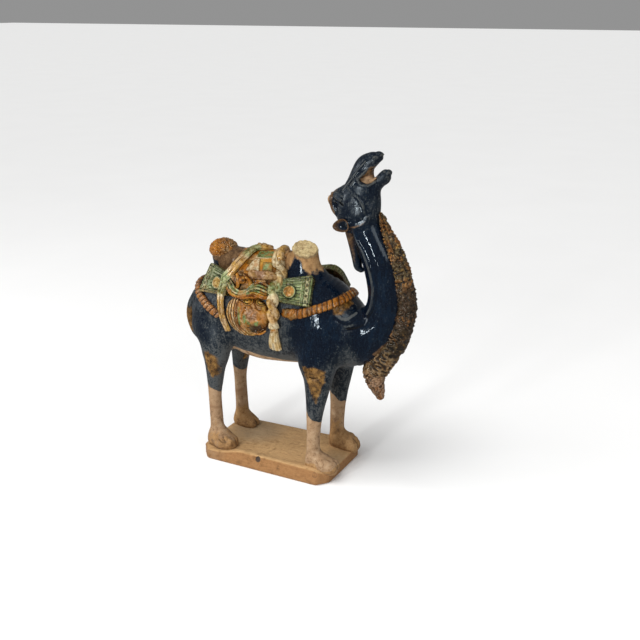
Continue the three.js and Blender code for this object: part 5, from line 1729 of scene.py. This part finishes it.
# Lumps of folded cloth and knots: x, degrees, lift, then half sizes along, round and off the body
lumps = [(-49, 41, 6, (8, 7, 6), "amber"), (-9, 40, 7, (9, 4.5, 6), "buff"), (-62, 40, 6, (5, 8, 5), "brown"),
         (-22, 41, 4, (6, 4, 4), "umber"), (-29, 44, 8, (5, 4, 4), "gold"), (3, 41, 6, (5, 4, 5), "rust"),
         (-69, 38, 6, (4, 6, 5), "buff"), (-56, 35, 3, (5, 4, 3.5), "brown"), (-42, 34, 6, (6, 4, 4), "rust")]


# A lump is an egg standing on the body, creased by a warped noise
def buildLump(x, degrees, lift, radii, colour, side, seed):
    centre, normal = onBody(x, degrees, lift, side)
    along = unit(np.array([1.0, 0, 0]) - normal * normal[0])
    way = ballWays(36, 60, 0.02)
    crease = 1 - np.abs(cloud(way * 8, 6, seed)) * 1.5
    size = np.array(radii) * (1 + 0.10 * crease[..., None])
    rings = centre + (way * size) @ np.stack([along, np.cross(normal, along), normal])
    tint = tintOf(crease.shape, colour, ("gold", step(0.1, 0.8, cloud(way * 8, 5, seed + 1)) * 0.5))
    # Painted shade in the creases
    return tubeSkin(rings, tint=tint, pool=np.clip(0.5 - crease * 0.6, 0, 1))


makePiece("packTrim", [buildTrim(key, 1, 500 + 7 * k) for k, key in enumerate(trims) if key != "roll"],
          glazeOfGear)
makePiece("packRolls", [buildTrim("roll", side, 580) for side in (1, -1)], glazeOfRopes)
makePiece("packKnots", [buildLump(*lump, 1, 600 + 5 * k) for k, lump in enumerate(lumps)]
          + [buildLump(*lump, -1, 650 + 5 * k) for k, lump in enumerate(lumps[:3])], glazeOfGear)


beads = [(6, 1), (10, 5), (13, 4), (15, 8), (18, 11)]
makePiece("beads", [buildLump(x, degrees, 1.0, (1.7, 1.7, 1.5), "ink", side, 700 + k)
                    for side in (1, -1) for k, (x, degrees) in enumerate(beads)], glazeOfGear)


# Ears: cups on the sides of the head, turned to the viewer of each side

ear = {"middle": (132, 26, 474), "long": (-0.98, -0.18), "size": (14.5, 11)}


# Rings go from the bottom of the cup over its rim and down its back, as a share of the outline
def buildEar(side):
    profile = smoothRows([(0.02, -1.5), (0.5, -1.2), (0.78, 1.2), (0.88, 3.6), (0.97, 4.3), (1.05, 3.2),
                          (1.02, 0.8), (0.8, -2.6), (0.4, -6.0), (0.05, -6.5)], 64)
    turn = turnsOf(90)
    share, off = profile[:, :1], profile[:, 1:2]
    a, b = ear["size"]
    x, z = ear["long"]
    long, tall = np.array([x, 0, z]), np.array([z, 0, -x])
    wobble = 1 + 0.05 * np.cos(3 * turn + 0.6)
    u = share * np.cos(turn) * a * (1 + 0.12 * np.cos(turn)) * wobble - 3.4 * step(0.95, 0.6, share) * (off < 3)
    w = share * np.sin(turn) * b * wobble
    x, y, z = ear["middle"]
    rings = np.array([x, -y * side, z]) + u[..., None] * long + w[..., None] * tall
    rings = rings + off[..., None] * np.array([0.12, -side, 0.08])
    at = np.linspace(0, 1, len(profile))[:, None]
    # The painted bend lays a painted highlight on the rim and painted shade in the cup's bottom
    return tubeSkin(rings, clay=farOutside, amber=farOutside, brown=2.4 - np.abs(at - 0.40) * 14, thin=0.1,
                    warm=0.0, stain=0.0, bend=0.3 * hill(at - 0.36, 0.1) - step(0.2, 0.05, at) * 0.6)


makePiece("ears", [buildEar(1), buildEar(-1)], glazeOfBody)


# Studio: a pale floor, soft lights and the camera at the photograph's angle

studio = {
    "target": (76.5, 0, 288.6), "azimuth": 26.92, "elevation": 18.96, "distance": 1669, "lens": 52.01,
    # place, width and height in metres, and power in watts
    "lights": {"keyLight": ((-0.24, -2.05, 0.78), (0.17, 0.50), 14.0),
               "glintLight": ((-0.12, -2.10, 0.36), (0.06, 0.20), 6.0),
               "leftLight": ((-1.9, -0.9, 0.95), (0.7, 0.7), 9.0),
               "rightLight": ((1.9, -1.1, 1.6), (1.0, 1.0), 12.0)},
    "aim": (0.03, 0.0, 0.3),                      # where the lights point, in metres
    "sun": ((0.35, 0.55, -1.35), 0.85, 2.1),      # direction, angle across and strength
    "world": 0.29,                                # light from all round
    "floor": 30, "sensor": 36.0,                  # the floor's half size and the film's width
}


def buildFloor():
    far = studio["floor"]
    mesh = bpy.data.meshes.new("floor")
    mesh.from_pydata([(-far, -far, 0), (far, -far, 0), (far, far, 0), (-far, far, 0)], [], [(0, 1, 2, 3)])
    floor = addObject("floor", mesh)
    material, tree, place = startMaterial("paleFloor")
    colour = mixed(tree, noise(tree, place, 3.0), (0.93, 0.93, 0.925), (0.97, 0.97, 0.965))
    mesh.materials.append(finishMaterial(material, tree, colour, 0.9, noise(tree, place, 400.0), 0.00005, 1.4))
    floor.visible_glossy = False                  # so the dark glaze keeps its depth


def buildLights():
    world = bpy.data.worlds.new("paleRoom")
    world.use_nodes = True
    background = world.node_tree.nodes["Background"]
    background.inputs[0].default_value = (1.0, 1.0, 1.0, 1.0)
    background.inputs[1].default_value = studio["world"]
    bpy.context.scene.world = world
    way, angle, strength = studio["sun"]
    light = bpy.data.lights.new("skyLight", "SUN")
    light.angle, light.energy = angle, strength
    lamp = addObject("skyLight", light)
    lamp.rotation_euler = lookRotation(np.array(way))
    lamp.visible_glossy = False
    for name, (place, size, power) in studio["lights"].items():
        light = bpy.data.lights.new(name, "AREA")
        light.shape, light.size, light.size_y, light.energy = "RECTANGLE", size[0], size[1], power
        lamp = addObject(name, light)
        lamp.location = place
        lamp.rotation_euler = lookRotation(np.array(studio["aim"]) - np.array(place))


def buildCamera():
    a, e = math.radians(studio["azimuth"]), math.radians(studio["elevation"])
    back = np.array([math.sin(a) * math.cos(e), -math.cos(a) * math.cos(e), math.sin(e)])
    target = inMetres(np.array(studio["target"]))
    data = bpy.data.cameras.new("camera")
    data.lens, data.sensor_width = studio["lens"], studio["sensor"]
    camera = addObject("camera", data)
    camera.location = target + back * studio["distance"] * drawn["unit"]
    camera.rotation_euler = lookRotation(-back)
    bpy.context.scene.camera = camera
    bpy.context.scene.view_settings.view_transform = "Standard"


# The turn that points a lamp's or a camera's own -z along a direction, with x kept level
def lookRotation(way):
    x, y, z = way / np.linalg.norm(way)
    return (math.atan2(math.hypot(x, y), -z), 0.0, math.atan2(-x, y))


buildFloor()
buildLights()
buildCamera()
print("studio ready")
